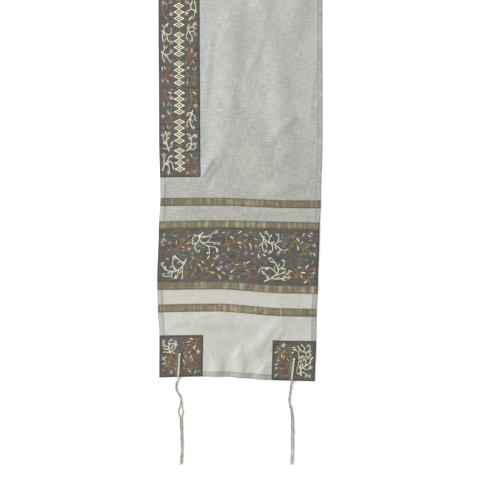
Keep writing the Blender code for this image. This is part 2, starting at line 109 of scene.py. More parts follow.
# v along the cloth, width of the row, drift to +X, drop of the right half, rise of the middle
LAY = table(
    "v width drift drop arch",
    (-0.900, 0.380, -0.0080, 0.0093, 0.0028),
    (-0.800, 0.383, -0.0062, 0.0137, 0.0012),
    (-0.730, 0.388, -0.0078, 0.0108, 0.0028),
    (-0.665, 0.393, -0.0067, 0.0090, 0.0020),
    (-0.535, 0.393, -0.0028, 0.0020, 0.0032),
    (-0.460, 0.392, 0.0008, 0.0062, 0.0008),
    (-0.300, 0.399, 0.0010, 0.0000, 0.0000),
    (0.000, 0.400, 0.0000, 0.0000, 0.0000),
    (0.320, 0.399, -0.0010, -0.0010, 0.0010),
    (0.500, 0.396, 0.0015, 0.0030, -0.0030),
    (0.665, 0.394, 0.0050, 0.0070, -0.0040),
    (0.780, 0.388, 0.0040, 0.0090, -0.0050),
    (0.900, 0.383, 0.0050, 0.0080, -0.0050),
)
DROP_FROM = -0.3
DROP_OVER = 0.9

# The largest soft folds, as in the solids
FOLDS = table(
    "u v turn length width height",
    (-0.030, -0.150, 86, 0.560, 0.095, 0.0060),
    (0.098, -0.225, 97, 0.420, 0.085, 0.0050),
    (-0.078, -0.378, 52, 0.120, 0.056, 0.0060),
    (0.100, -0.432, 12, 0.170, 0.056, 0.0040),
    (-0.092, -0.600, 64, 0.150, 0.070, 0.0035),
    (0.070, -0.590, 105, 0.160, 0.075, 0.0040),
    (-0.060, -0.768, -4, 0.230, 0.062, 0.0045),
    (0.078, -0.790, 48, 0.160, 0.058, 0.0045),
    (-0.052, -0.885, 84, 0.100, 0.058, 0.0055),
    (0.008, -0.880, 95, 0.120, 0.060, 0.0065),
    (0.064, -0.890, 88, 0.090, 0.052, 0.0045),
    (0.046, 0.165, 93, 0.500, 0.090, 0.0055),
    (0.150, 0.060, 80, 0.300, 0.075, 0.0045),
    (-0.055, 0.330, 118, 0.200, 0.065, 0.0050),
    (0.085, 0.440, 160, 0.180, 0.058, 0.0045),
    (-0.040, 0.600, 72, 0.160, 0.072, 0.0040),
    (0.055, 0.775, 6, 0.220, 0.060, 0.0045),
    (-0.062, 0.800, 130, 0.150, 0.056, 0.0045),
    (-0.030, 0.882, 92, 0.110, 0.060, 0.0060),
    (0.040, 0.888, 86, 0.095, 0.056, 0.0050),
)

# Soft creases: from one point of the cut cloth to another, how far the middle bows, and their size
CREASES = table(
    "a b bow width height",
    ((-0.099, -0.416), (-0.056, -0.352), 0.003, 0.013, 0.0022),
    ((-0.092, -0.428), (-0.044, -0.372), 0.004, 0.020, 0.0014),
    ((-0.186, -0.414), (-0.096, -0.434), 0.008, 0.020, 0.0018),
    ((0.140, -0.438), (0.196, -0.462), 0.002, 0.016, 0.0018),
    ((0.118, -0.412), (0.178, -0.436), -0.003, 0.022, 0.0013),
    ((-0.180, -0.487), (-0.040, -0.496), 0.004, 0.016, 0.0021),
    ((0.000, -0.494), (0.160, -0.482), -0.004, 0.018, 0.0020),
    ((-0.060, -0.508), (0.060, -0.505), 0.002, 0.014, 0.0013),
    ((0.060, -0.340), (0.150, -0.250), 0.010, 0.034, 0.0016),
    ((-0.080, -0.290), (0.020, -0.330), -0.008, 0.030, 0.0014),
    ((0.010, -0.200), (0.060, -0.060), 0.006, 0.036, 0.0018),
    ((0.170, -0.300), (0.186, -0.120), 0.003, 0.026, 0.0014),
    ((-0.085, -0.230), (-0.068, -0.060), 0.004, 0.026, 0.0016),
    ((-0.180, -0.560), (-0.120, -0.640), 0.006, 0.028, 0.0013),
    ((0.110, -0.560), (0.180, -0.620), -0.006, 0.026, 0.0012),
    ((-0.110, -0.758), (-0.022, -0.752), 0.006, 0.022, 0.0018),
    ((0.120, -0.764), (0.070, -0.834), 0.004, 0.024, 0.0018),
    ((0.014, -0.812), (-0.010, -0.858), 0.003, 0.022, 0.0017),
    ((-0.180, -0.775), (-0.120, -0.762), -0.003, 0.018, 0.0011),
    ((0.020, -0.760), (0.070, -0.786), 0.004, 0.026, 0.0012),
    ((-0.084, -0.818), (-0.060, -0.880), 0.004, 0.020, 0.0014),
    ((0.078, -0.850), (0.052, -0.892), 0.003, 0.017, 0.0016),
    ((0.036, -0.862), (0.026, -0.896), 0.002, 0.015, 0.0014),
    ((-0.022, -0.868), (-0.026, -0.898), 0.001, 0.015, 0.0013),
    ((0.150, -0.745), (0.190, -0.770), 0.002, 0.018, 0.0012),
    ((0.060, 0.020), (0.020, 0.150), 0.010, 0.034, 0.0017),
    ((-0.070, 0.050), (-0.040, 0.210), -0.008, 0.030, 0.0015),
    ((0.120, 0.150), (0.180, 0.260), 0.007, 0.030, 0.0015),
    ((0.000, 0.250), (0.090, 0.330), 0.008, 0.030, 0.0016),
    ((-0.098, 0.412), (-0.050, 0.360), -0.003, 0.015, 0.0021),
    ((-0.180, 0.420), (-0.100, 0.436), -0.005, 0.020, 0.0016),
    ((0.110, 0.440), (0.184, 0.452), 0.003, 0.020, 0.0015),
    ((-0.150, 0.492), (0.000, 0.498), 0.003, 0.016, 0.0012),
    ((0.030, 0.488), (0.150, 0.499), -0.003, 0.016, 0.0011),
    ((0.100, 0.570), (0.170, 0.640), 0.005, 0.026, 0.0012),
    ((-0.170, 0.760), (-0.090, 0.776), 0.004, 0.022, 0.0015),
    ((0.000, 0.752), (0.120, 0.764), -0.005, 0.022, 0.0016),
    ((-0.020, 0.800), (0.030, 0.860), 0.005, 0.024, 0.0016),
    ((-0.084, 0.840), (-0.060, 0.890), 0.003, 0.018, 0.0014),
    ((0.060, 0.850), (0.074, 0.894), 0.003, 0.016, 0.0013),
)

# Shares of a crease's size: its width at the tips, how far off its trough is, how deep that is,
# and how its height eases off towards the tips
CREASE_TIP = 0.6
TROUGH_OFF = 1.1
TROUGH_SHARE = 0.45
CREASE_EASE = 0.75

# Low waves all over the cloth: how many radians to the metre across and along, where each starts
RIPPLES = table(
    "across along start height",
    (128.0, 34.0, 0.4, 0.00022),
    (-61.0, 88.0, 2.1, 0.00024),
    (19.0, 151.0, 4.0, 0.00016),
    (203.0, -47.0, 1.2, 0.00012),
)
PUCKER_HEIGHT = 0.00030
PUCKER_FADE = 0.015
PUCKER_WAVES = (392.0, 251.0)
PUCKER_DRIFT = 3
DRIFT_WAVES = {"side": 17, "end": 23}

# Widest grid cells of each cloth, and how its folded edges round off
PANEL_CELL = (0.0044, 0.0050)
SLATE_CELL = (0.0034, 0.0034)
NECK_CELL = (0.0034, 0.0034 * 1.3)
RIBBON_CELL = (0.0022, 0.0024)
EDGE_LINES = (0.0, 0.0006, 0.0016, 0.0030)
EDGE_ROUND = 0.0016
RIM_BULGE = 0.35
EDGE_SEEN = 0.010
HOLE_LINES = (math.tan(math.radians(15)), math.tan(math.radians(30)), 1.0, 1.3, 1.8, 2.4)
HOLE_EASE = 2.4
SEAM_SINK = 0.00022
SEAM_REACH = 0.0016
HEM_SEAM_IN = HEM_WIDTH - 0.0016
SEAM_STEP = 0.004

# Grains to the metre across and along each cloth, and how fine their noise is
SILK_GRAINS = {
    "weft": (14.0, 560.0, 3.0),
    "slubs": (48.0, 450.0, 3.0),
    "warp": (450.0, 42.0, 3.0),
    "patch": (16.0, 11.0, 4.0),
    "cloud": (10.0, 7.0, 3.0),
}
SLATE_GRAINS = {
    "weft": (26.0, 560.0, 3.0),
    "streak": (22.0, 260.0, 2.0),
    "rubbed": (38.0, 38.0, 4.0),
    "mottle": (120.0, 190.0, 3.0),
}
RIBBON_GRAINS = {
    "broad": (105.0, 11.0, 3.0),
    "fine": (430.0, 16.0, 2.0),
    "along": (7.0, 260.0, 2.0),
    "blotch": (55.0, 120.0, 3.0),
}
WEAVES = {"silk": 1500, "slate": 1300, "ribbon": 1700}
SILK_GLINT = (222, 224, 221)
SILK_WARM = (196, 190, 168)
HEM_SOFT = 0.0006

# The embroidery threads, and those that a spray takes for its stem, blossoms and leaves
THREADS = ("cream", "gold", "rust", "pink", "blush", "sage", "pale_sage")
LIGHT_THREADS = {"stem": "cream", "blossom": ("pink", "blush"), "leaf": ("cream", "pale_sage")}
WARM_THREADS = {
    "stem": "gold",
    "blossom": ("pink", "blush", "rust"),
    "leaf": ("sage", "pale_sage", "cream"),
}
RUST_THREADS = {"stem": "rust", "blossom": ("rust", "pink"), "leaf": ("pale_sage", "sage")}
THREAD_ROUNDS = (LIGHT_THREADS, WARM_THREADS, RUST_THREADS, LIGHT_THREADS, WARM_THREADS)
FILLING_THREADS = ("cream", "pale_sage", "sage", "gold")

# How the stems run: the step of a path, its shift at random and the width of a side stem, the
# cells that count as narrow and the stems that those hold, and the curl at a tip
STEM_STEP = 0.0015
STEM_SHIFT = 0.08
SIDE_STEM = 0.42
NARROW_CELL = 0.018
NARROW_STEMS = 4
CURL_STEPS = 15
CURL_TURNS = (0.22, 0.62)
CURL_REACH = (0.0013, 0.0008)

# How far off a stem leaves start, where they feel for room, how much they need and take up, and
# the same for those that fill the open ground, with how many there may be and spots to try
LEAF_ROOT = 0.0022
LEAF_FEELERS = ((0.0070,), (0.0105,))
LEAF_ROOM = 0.0024
LEAF_REACH = 0.0040
FILLING_BACK = 0.0055
FILLING_REACH = 0.0060
FILLING_MOST = 400
FILLING_TRIES = 60

# Of each ground: how far in stitches start, how far in sprays start, leaf spacing, largest bare gap
GROUNDS = {
    "band": {"margin": 0.003, "inset": 0.005, "leaves": 0.016, "gap": 0.0072},
    "neck": {"margin": 0.004, "inset": 0.006, "leaves": 0.012, "gap": 0.0054},
    "corner": {"margin": 0.004, "inset": 0.007, "leaves": 0.011, "gap": 0.0052},
}
BAND_CELLS = (5, 2)
NECK_CELLS = (1, 15)

# The row of lozenges down the neckband, with a bar between its groups
LOZENGE = {"half_wide": 0.0124, "half_tall": 0.0069, "half_width": 0.00130}
LOZENGE_HOLLOW = 0.16
LOZENGE_STEPS = 6
LOZENGE_PITCH = 0.0154
LOZENGE_GROUP = 4
GROUP_PITCH = 0.0248
ROW_START = 0.020
ROW_STOP = 0.018
ROW_BARE = 0.0140
ROW_SIDE = 0.0145
BAR_HALF_LENGTH = 0.008
BAR_HALF_WIDTH = 0.0012
BAR_BACK = 0.0124

# The padded motifs, as shares of a leaf's length or a blossom's width; heights and the dot in metres
LEAF_SHARES = {"reach": 0.45, "width": 0.26}
PETAL_SHARES = {"reach": 0.27, "length": 0.46, "width": 0.19}
EYE_SHARE = 0.22
LEAF_HEIGHT = 0.0015
PETAL_HEIGHT = 0.0017
EYE_HEIGHT = 0.0030
DOT_LENGTH = 0.0062
DOT_WIDTH = 0.0040

# What stays bare round an eyelet, and its binding
STRANDS_BARE = 0.0050
EYELET_BARE = 0.0075
EYELET_SPRAYS = 0.006
BINDING_STITCHES = 28
BINDING_OUT = 0.0010
BINDING_SHAPE = {"Petals": 1, "Reach": 0.0, "Length": 0.0032, "Width": 0.0011, "Height": 0.0011}

# The wound part of each tzitzit, as in the solids
BUNDLE_CLEAR = 0.0003
TWIST_TURN = 0.021
TWIST_WIDE = 0.0014
TWIST_TALL = 0.0007
WINDS = (7, 8, 11, 13)
WIND_PITCH = 0.00103
KNOT_LENGTH = 0.0045
KNOTS_AT = [sum(WINDS[:k]) * WIND_PITCH + k * KNOT_LENGTH for k in range(len(WINDS) + 1)]
GEDIL_START = 0.005
GEDIL_LENGTH = KNOTS_AT[-1]
WINDING_RADIUS = 0.0023
KNOT_RADIUS = 0.0034
LAST_KNOT_RADIUS = 0.0038
STRANDS = 8
STRANDS_IN_LAYER = 4
STRAND_THICK = 0.0013
STRAND_ROOT_PITCH = 0.00145
STRAND_PITCH = 0.0018
STRAND_SPREAD = 0.014
TIP_Y = 1.111
TIP_STEPS = (0.0, 0.004, 0.002, 0.007, 0.003, 0.009, 0.005, 0.001)
STRAND_STEP = 0.0030
STRAND_WANDER = 0.0005
WANDER_WAVES = (95, 13)
STRAND_LAYER = 0.00125
DOUBLED_STEP = 0.0012
DOUBLED_APART = STRAND_THICK * 0.94
OVER_AT = np.linspace(0.003, 0.0515, 17)
UNDER_AT = (0.0515, 0.044, 0.034, 0.020, 0.004)
KNOT_SLOT = 0.0007
RETURN_SLOT = 0.0006
KNOT_STRAND_LIFT = 0.0008
OVER_EDGE = {"out": 0.0026, "lift": -0.0004}
UNDER_EDGE = {"out": 0.0015, "lift": 0.0006}
HOLE_STOPS = (0.15, 0.5, 0.85)
HOLE_BOW = (0.0002, 0.0012)
CORE_STEP = 0.0010
CORE = {"Half Width": 0.0017, "Half Height": 0.0016}
WINDING_LIFT = 0.0004
WINDING_SLANT = 0.16
KNOT_THREAD = {"Wrap Radius": KNOT_RADIUS - 0.0013, "Thread Radius": 0.00092}
KNOT_RINGS = table(
    "shift slant size", (-0.0013, 0.42, 0.96), (0.0002, -0.46, 1.06), (0.0016, 0.30, 0.94)
)

# The route of each tzitzit past the cloth's edge: metres out from the edge, and sideways to +X
ROUTES = {
    "front_left": table(
        "out side",
        (0.000, -0.003), (0.017, -0.008), (0.034, -0.007), (0.050, 0.003), (0.086, 0.003),
        (0.130, 0.005), (0.180, 0.006), (0.230, 0.003),
    ),
    "front_right": table(
        "out side",
        (0.000, -0.004), (0.012, -0.006), (0.035, -0.009), (0.054, -0.010), (0.070, -0.005),
        (0.100, -0.002), (0.150, -0.002), (0.230, -0.004),
    ),
    "far_left": table(
        "out side",
        (0.000, 0.002), (0.020, 0.006), (0.045, 0.003), (0.070, -0.004), (0.110, -0.006),
        (0.160, -0.001), (0.230, 0.004),
    ),
    "far_right": table(
        "out side",
        (0.000, -0.003), (0.018, -0.006), (0.040, -0.002), (0.062, 0.005), (0.095, 0.007),
        (0.150, 0.003), (0.230, 0.006),
    ),
}

# Where the loose strands part: metres along from the last knot, and half the opening
PARTINGS = {
    "front_left": table(
        "along open",
        (0.000, 0.0000), (0.010, 0.0010), (0.021, 0.0042), (0.036, 0.0006), (0.200, 0.0004),
    ),
    "front_right": table(
        "along open",
        (0.000, 0.0000), (0.030, 0.0004), (0.080, 0.0008), (0.200, 0.0004),
    ),
    "far_left": table(
        "along open",
        (0.000, 0.0000), (0.030, 0.0006), (0.070, 0.0026), (0.120, 0.0006), (0.200, 0.0010),
    ),
    "far_right": table(
        "along open",
        (0.000, 0.0000), (0.040, 0.0018), (0.075, 0.0004), (0.200, 0.0014),
    ),
}

# How many sides the small round forms have
PETAL_SIDES = (8, 5)
LOOP_SIDES = (5, 4)
SATIN_SIDES = 5
YARN_SIDES = 6
TURN_SIDES = 14

# The stage: where the camera and the lamps are, what the lamps point at, and the white floor's glow
CAMERA_OVER = (0.0237, -0.5840)
CAMERA_LENS = 100.0
SKY_PLACE = (-0.6, 2.4, 2.0)
WINDOW_PLACE = (-3.0, -0.2, 2.4)
LIT_SPOT = (0.0, -0.5, 0.0)
WHITE = (1.0, 1.0, 1.0, 1.0)
ROOM_STRENGTH = 0.50
FLOOR_GLOW = 0.28


def linear(red, green, blue):
    """A display colour, 0 to 255, as linear light."""
    shares = (value / 255 for value in (red, green, blue))
    return tuple(s / 12.92 if s <= 0.04045 else ((s + 0.055) / 1.055) ** 2.4 for s in shares)


def size_prop(name, description, default):
    return FloatProperty(
        name=name, description=description, default=default, min=0.0, unit="LENGTH", precision=5
    )


def colour_prop(name, description, default):
    return FloatVectorProperty(
        name=name, description=description, default=default, min=0.0, max=1.0, subtype="COLOR"
    )


class TallitSizes(bpy.types.PropertyGroup):
    crease_share: FloatProperty(
        name="Crease Height",
        description="Share of their full height that the creases and ripples have",
        default=1.0,
        min=0.0,
        max=2.0,
        subtype="FACTOR",
    )
    stitch_pitch: size_prop("Stitch Pitch", "From one seam stitch to the next", 0.0029)
    stitch_length: size_prop("Stitch Length", "Length of the thread seen in a stitch", 0.0021)
    stitch_thick: size_prop("Stitch Thickness", "Thickness of the sewing thread", 0.00055)
    seam_inset: size_prop("Seam Inset", "From an edge to the seam along it", 0.0024)
    vine_width: size_prop("Vine Width", "Width of a stem of satin stitch at its root", 0.0024)
    satin_pitch: size_prop("Satin Pitch", "Spacing of the satin stitches along a stem", 0.00078)
    blossom_size: size_prop("Blossom Size", "Width of a blossom across its petals", 0.0125)
    leaf_length: size_prop("Leaf Length", "Length of an embroidered leaf", 0.0130)
    yarn_turn: size_prop("Yarn Turn", "Length of one full twist of the spun yarn", 0.0034)
    winding_thick: size_prop("Winding Thickness", "Thickness of the winding thread", 0.00125)
    petals: IntProperty(name="Petals", description="Petals of a blossom", default=5, min=3, max=9)
    camera_height: size_prop("Camera Height", "Height of the camera over the floor", 3.40)
    floor_size: size_prop("Floor Size", "Side of the pale floor", 14.0)
    light_strength: FloatProperty(
        name="Skylight", description="Strength of the soft light from above", default=1.02, min=0.0
    )
    window_power: FloatProperty(
        name="Window Light",
        description="Power of the soft light from the left",
        default=95.0,
        min=0.0,
        unit="POWER",
    )


class TallitColours(bpy.types.PropertyGroup):
    silk: colour_prop("Silver Silk", "Body of the shawl", linear(180, 181, 177))
    # Painted shade: the darker silk next to the bands stands in for the light falling off down the
    # cloth
    silk_shade: colour_prop("Shaded Silk", "Cloth next to the bands", linear(168, 168, 161))
    silk_end: colour_prop("Ivory Silk", "Cloth beyond the bands", linear(198, 197, 189))
    # Also painted 15% lighter on the left hem as a painted highlight, and darkened for the painted
    # shadow lines along the hems
    silk_hem: colour_prop("Hem Silk", "Doubled cloth of the hems", linear(167, 168, 162))
    slate: colour_prop("Slate Silk", "Neckband, bands and squares", linear(88, 89, 84))
    slate_worn: colour_prop("Rubbed Slate", "Where the slate silk is rubbed", linear(108, 102, 90))
    bronze: colour_prop("Bronze Ribbon", "Ribbon", linear(124, 115, 94))
    # Also the painted shade in the ribbon's crinkles and along its edges
    bronze_dark: colour_prop("Bronze Shade", "Dark streaks of the ribbon", linear(100, 89, 70))
    # Paler threads and painted glints of the ribbon
    bronze_pale_and_glint: colour_prop("Bronze Glint", "Light streaks of the ribbon", linear(196, 186, 156))
    cream: colour_prop("Cream Thread", "Light vines", linear(234, 227, 198))
    gold: colour_prop("Gold Thread", "Golden-brown vines", linear(154, 112, 52))
    rust: colour_prop("Rust Thread", "Orange-brown vines", linear(163, 98, 58))
    pink: colour_prop("Pink Thread", "Petals", linear(202, 140, 148))
    blush: colour_prop("Blush Thread", "Pale petals", linear(224, 188, 188))
    sage: colour_prop("Sage Thread", "Leaves", linear(146, 150, 112))
    pale_sage: colour_prop("Pale Sage Thread", "Pale leaves", linear(196, 200, 160))
    wool: colour_prop("White Wool", "Tzitzit", linear(252, 246, 226))
    # Painted shade of the loose ends and between the fibres, and the darker mottle of the wool
    wool_shade_and_mottle: colour_prop("Greyed Wool", "Loose ends of the tzitzit", linear(176, 172, 158))
    seam_grey: colour_prop("Seam Grey", "Stitches on the silk", linear(146, 148, 144))
    seam_bronze: colour_prop("Seam Bronze", "Stitches on the ribbons", linear(112, 101, 80))
    seam_slate: colour_prop("Seam Slate", "Stitches on the dark pieces", linear(66, 68, 67))
    floor: colour_prop("Floor", "Pale floor", linear(236, 236, 235))


def sizes():
    return bpy.context.scene.tallit_sizes


def colours():
    return bpy.context.scene.tallit_colours


# The cloth: how it is cut, laid and folded


def smooth(t):
    t = np.clip(t, 0.0, 1.0)
    return t * t * (3 - 2 * t)


def row_index(rows, key, at):
    keys = np.array([row[key] for row in rows])
    index = np.clip(np.searchsorted(keys, at, side="left") - 1, 0, len(keys) - 2)
    return index, (at - keys[index]) / (keys[index + 1] - keys[index])


def from_rows(rows, key, column, at):
    """A column of a table at any values of its key, eased from row to row."""
    index, share = row_index(rows, key, at)
    values = np.array([row[column] for row in rows])
    return values[index] + (values[index + 1] - values[index]) * smooth(share)


def along_rows(rows, key, column, at):
    """A column of a table as a smooth curve through its rows."""
    index, share = row_index(rows, key, at)
    values = np.array([row[column] for row in rows])
    last = len(values) - 1
    t = np.clip(share, 0.0, 1.0)
    before, after = values[np.maximum(index - 1, 0)], values[np.minimum(index + 2, last)]
    a, b = values[index], values[index + 1]
    slope_a, slope_b = (b - before) / 2, (after - a) / 2
    return (
        (2 * t**3 - 3 * t**2 + 1) * a
        + (t**3 - 2 * t**2 + t) * slope_a
        + (-2 * t**3 + 3 * t**2) * b
        + (t**3 - t**2) * slope_b
    )


def laid(u, v):
    """Where points of the cut cloth lie on the surface."""
    across = u / HALF_WIDTH
    x = across * from_rows(LAY, "v", "width", v) / 2 + from_rows(LAY, "v", "drift", v)
    arch = from_rows(LAY, "v", "arch", v) * (1 - across * across)
    dropped = smooth((across - DROP_FROM) / DROP_OVER) - 0.5
    return x, v + arch - from_rows(LAY, "v", "drop", v) * dropped


def hump(t):
    """1 in the middle, easing down to 0 at -1 and at 1."""
    return np.cos(np.clip(t, -1, 1) * math.pi / 2)


def fold_height(u, v):
    height = np.zeros_like(u)
    for fold in FOLDS:
        turn = math.radians(fold["turn"])
        du, dv = u - fold["u"], v - fold["v"]
        along = (du * math.cos(turn) + dv * math.sin(turn)) / (fold["length"] / 2)
        across = (dv * math.cos(turn) - du * math.sin(turn)) / (fold["width"] / 2)
        height += fold["height"] * hump(across) ** 2 * hump(along)
    return height


def crease_height(u, v):
    """The creases as listed: a soft ridge each, with a shallow trough on its lower side."""
    height = np.zeros_like(u)
    for crease in CREASES:
        (start_u, start_v), (end_u, end_v) = crease["a"], crease["b"]
        length = math.hypot(end_u - start_u, end_v - start_v)
        du, dv = (end_u - start_u) / length, (end_v - start_v) / length
        along = ((u - start_u) * du + (v - start_v) * dv) / length
        inside = np.clip(1 - (2 * along - 1) ** 2, 0, 1)
        across = (v - start_v) * du - (u - start_u) * dv - crease["bow"] * inside
        reach = crease["width"] / 2 * (CREASE_TIP + (1 - CREASE_TIP) * inside)
        ridge, trough = hump(across / reach) ** 2, hump(across / reach + TROUGH_OFF) ** 2
        height += crease["height"] * inside**CREASE_EASE * (ridge - TROUGH_SHARE * trough)
    return height


def ripple_height(u, v):
    height = np.zeros_like(u)
    for wave in RIPPLES:
        height += wave["height"] * np.sin(wave["across"] * u + wave["along"] * v + wave["start"])
    return height


def pucker_height(u, v):
    """Small puckers that the hem's stitching draws into the cloth beside it."""
    from_side, from_end = HALF_WIDTH - np.abs(u), HALF_LENGTH - np.abs(v)
    short, long = PUCKER_WAVES
    by_side = np.clip(1 - np.abs(from_side - HEM_WIDTH) / PUCKER_FADE, 0, 1)
    by_end = np.clip(1 - np.abs(from_end - HEM_WIDTH) / PUCKER_FADE, 0, 1)
    drift_v = PUCKER_DRIFT * np.sin(DRIFT_WAVES["side"] * v)
    drift_u = PUCKER_DRIFT * np.sin(DRIFT_WAVES["end"] * u)
    along_side = np.sin(short * v + drift_v) + 0.5 * np.sin(long * v)
    along_end = np.sin(short * u + drift_u) + 0.5 * np.sin(long * u)
    return PUCKER_HEIGHT * (by_side**2 * along_side + by_end**2 * along_end)


def hole_uv(end, side):
    u = SIDES[side] * (HALF_WIDTH - HOLE_FROM_EDGE[side])
    return u, ENDS[end] * (HALF_LENGTH - HOLE_IN)


def tunnel_height(u, v):
    """How far the cloth lifts over the strands that come back under each corner."""
    inward = HALF_LENGTH - np.abs(v)
    left, right = hole_uv("far", "left")[0], hole_uv("far", "right")[0]
    away = np.abs(u - np.where(u < 0, left, right))
    across = smooth((TUNNEL_FOOT - away) / (TUNNEL_FOOT - TUNNEL_FLAT))
    return TUNNEL_RISE * across * smooth(
        (TUNNEL_END - inward) / (TUNNEL_END - HOLE_IN - HOLE_RADIUS)
    )


def underside(u, v):
    """The height of the cloth's underside, flat on the floor or lifted by a fold."""
    small = crease_height(u, v) + ripple_height(u, v) + pucker_height(u, v)
    draped = fold_height(u, v) + sizes().crease_share * small
    return np.maximum(np.maximum(draped, 0.0), tunnel_height(u, v))


def hem_rise(u, v):
    inward = np.minimum(HALF_WIDTH - np.abs(u), HALF_LENGTH - np.abs(v))
    return HEM_RISE * smooth((HEM_WIDTH + HEM_SLOPE - inward) / HEM_SLOPE)


def panel_thickness(u, v):
    return SILK_THICK + hem_rise(u, v)


def face(u, v):
    """The height of the panel's upper face."""
    return underside(u, v) + panel_thickness(u, v)


def lap_rise(v):
    """How far a ribbon climbs where it laps over the edge of the embroidered band."""
    inward = HALF_LENGTH - np.abs(v)
    from_outer = (inward - (BAND_OUTER_IN - 2 * LAP_SLOPE)) / LAP_SLOPE
    from_inner = ((BAND_INNER_IN + 2 * LAP_SLOPE) - inward) / LAP_SLOPE
    return LAP_RISE * smooth(np.minimum(from_outer, from_inner))


def on_applique(u, v):
    return face(u, v) + GAP + APPLIQUE_THICK


def on_ribbon(u, v):
    return on_applique(u, v) + lap_rise(v)


def lines(low, high, cell, also=()):
    """Grid lines from one limit to the other, no wider apart than a cell, through the given ones."""
    stops = sorted({round(value, 6) for value in (low, high, *also) if low <= value <= high})
    made = [stops[0]]
    for a, b in zip(stops, stops[1:]):
        steps = max(1, math.ceil((b - a) / cell - 0.01))
        made += [a + (b - a) * k / steps for k in range(1, steps + 1)]
    return np.array(made)


def edge_lines(low, high):
    """Lines close together along two opposite edges, so that the folded edges round off."""
    return [low + step for step in EDGE_LINES] + [high - step for step in EDGE_LINES]


def hole_lines(centre):
    return [centre] + [centre + side * HOLE_RADIUS * k for k in HOLE_LINES for side in (-1, 1)]


def opened(u, v, hole_u, hole_v):
    """Moves the grid round a hole outwards from square to round, easing off away from it."""
    du, dv = u - hole_u, v - hole_v
    square = np.maximum(np.abs(du), np.abs(dv))
    radial = np.maximum(np.hypot(du, dv), 1e-9)
    share = 1 - smooth((square / HOLE_RADIUS - 1) / (HOLE_EASE - 1))
    factor = 1 + share * (square / radial - 1)
    return hole_u + du * factor, hole_v + dv * factor


def set_values(mesh, name, values, kind="FLOAT", field="value"):
    """Gives each point of a mesh its value of a named attribute."""
    data = mesh.attributes.new(name, kind, "POINT").data
    data.foreach_set(field, np.asarray(values, np.float32).ravel())


def add_piece(name, points, faces, material, cut=None, inward=None):
    """A mesh object at the origin, with its cut as a UV map and its distance in from the edge."""
    mesh = bpy.data.meshes.new(name)
    mesh.from_pydata(np.asarray(points).tolist(), [], [list(map(int, f)) for f in faces])
    mesh.materials.append(material)
    mesh.shade_smooth()
    if cut is not None:
        corner = np.empty(len(mesh.loops), np.int32)
        mesh.loops.foreach_get("vertex_index", corner)
        layer = mesh.uv_layers.new(name="cut")
        layer.data.foreach_set("uv", np.asarray(cut, np.float32)[corner].ravel())
    if inward is not None:
        set_values(mesh, "inward", inward)
    mesh.update()
    obj = bpy.data.objects.new(name, mesh)
    bpy.context.scene.collection.objects.link(obj)
    return obj


def border_of(quads, count):
    """The directed outer edges of a set of faces, holes included."""
    ends = np.concatenate([quads[:, [k, (k + 1) % 4]] for k in range(4)])
    forward, backward = ends[:, 0] * count + ends[:, 1], ends[:, 1] * count + ends[:, 0]
    return ends[~np.isin(forward, backward)]


def cloth_shell(name, us, vs, low, thickness, material, holes=(), inside=None):
    """A closed shell of cloth over a grid of cut lines, with a rounded rim and round holes."""
    u, v = (grid.ravel() for grid in np.meshgrid(us, vs, indexing="ij"))
    index = np.arange(len(u)).reshape(len(us), len(vs))
    corners = (index[:-1, :-1], index[1:, :-1], index[1:, 1:], index[:-1, 1:])
    quads = np.stack(corners, -1).reshape(-1, 4)
    for hole_u, hole_v in holes:
        away = np.maximum(abs(u[quads].mean(1) - hole_u), abs(v[quads].mean(1) - hole_v))
        quads = quads[away > HOLE_RADIUS]
    for hole_u, hole_v in holes:
        u, v = opened(u, v, hole_u, hole_v)
    kept = np.unique(quads)
    renumber = np.full(len(u), -1)
    renumber[kept] = np.arange(len(kept))
    quads, u, v = renumber[quads], u[kept], v[kept]
    count = len(u)
    thick, bottom = thickness(u, v), low(u, v)

    border = border_of(quads, count)
    rim = np.unique(border)
    out_u, out_v = np.zeros(count), np.zeros(count)
    step_u, step_v = u[border[:, 1]] - u[border[:, 0]], v[border[:, 1]] - v[border[:, 0]]
    long = np.hypot(step_u, step_v)
    for end in (0, 1):
        np.add.at(out_u, border[:, end], step_v / long)
        np.add.at(out_v, border[:, end], -step_u / long)
    size = np.maximum(np.hypot(out_u, out_v), 1e-9)[rim]
    rim_u = u[rim] + out_u[rim] / size * thick[rim] * RIM_BULGE
    rim_v = v[rim] + out_v[rim] / size * thick[rim] * RIM_BULGE

    all_u, all_v = np.concatenate([u, u, rim_u]), np.concatenate([v, v, rim_v])
    heights = np.concatenate([bottom + thick, bottom, bottom[rim] + thick[rim] / 2])
    x, y = laid(all_u, all_v)
    at_rim = np.zeros(count, int)
    at_rim[rim] = 2 * count + np.arange(len(rim))
    a, b = border[:, 0], border[:, 1]
    upper_rim = np.stack([b, a, at_rim[a], at_rim[b]], -1)
    lower_rim = np.stack([at_rim[b], at_rim[a], a + count, b + count], -1)
    faces = np.concatenate([quads, quads[:, ::-1] + count, upper_rim, lower_rim])
    cut = np.stack([all_u, all_v], -1)
    inward = None if inside is None else np.clip(inside(all_u, all_v), 0, EDGE_SEEN)
    return add_piece(name, np.stack([x, y, heights], -1), faces, material, cut, inward)


def box_distance(u, v, box):
    """How far inside a rectangle of the cut each point lies."""
    left, right, low, high = box
    return np.minimum(np.minimum(u - left, right - u), np.minimum(v - low, high - v))


def sewn_thickness(box):
    """An applique's thickness: rounded at its folded edges and drawn down along its seam."""

    def thickness(u, v):
        inside = box_distance(u, v, box)
        edge = np.clip(1 - inside / EDGE_ROUND, 0, 1)
        seam = np.clip(1 - np.abs(inside - sizes().seam_inset) / SEAM_REACH, 0, 1)
        return APPLIQUE_THICK * (1 - 0.5 * edge**2) - SEAM_SINK * smooth(seam)

    return thickness


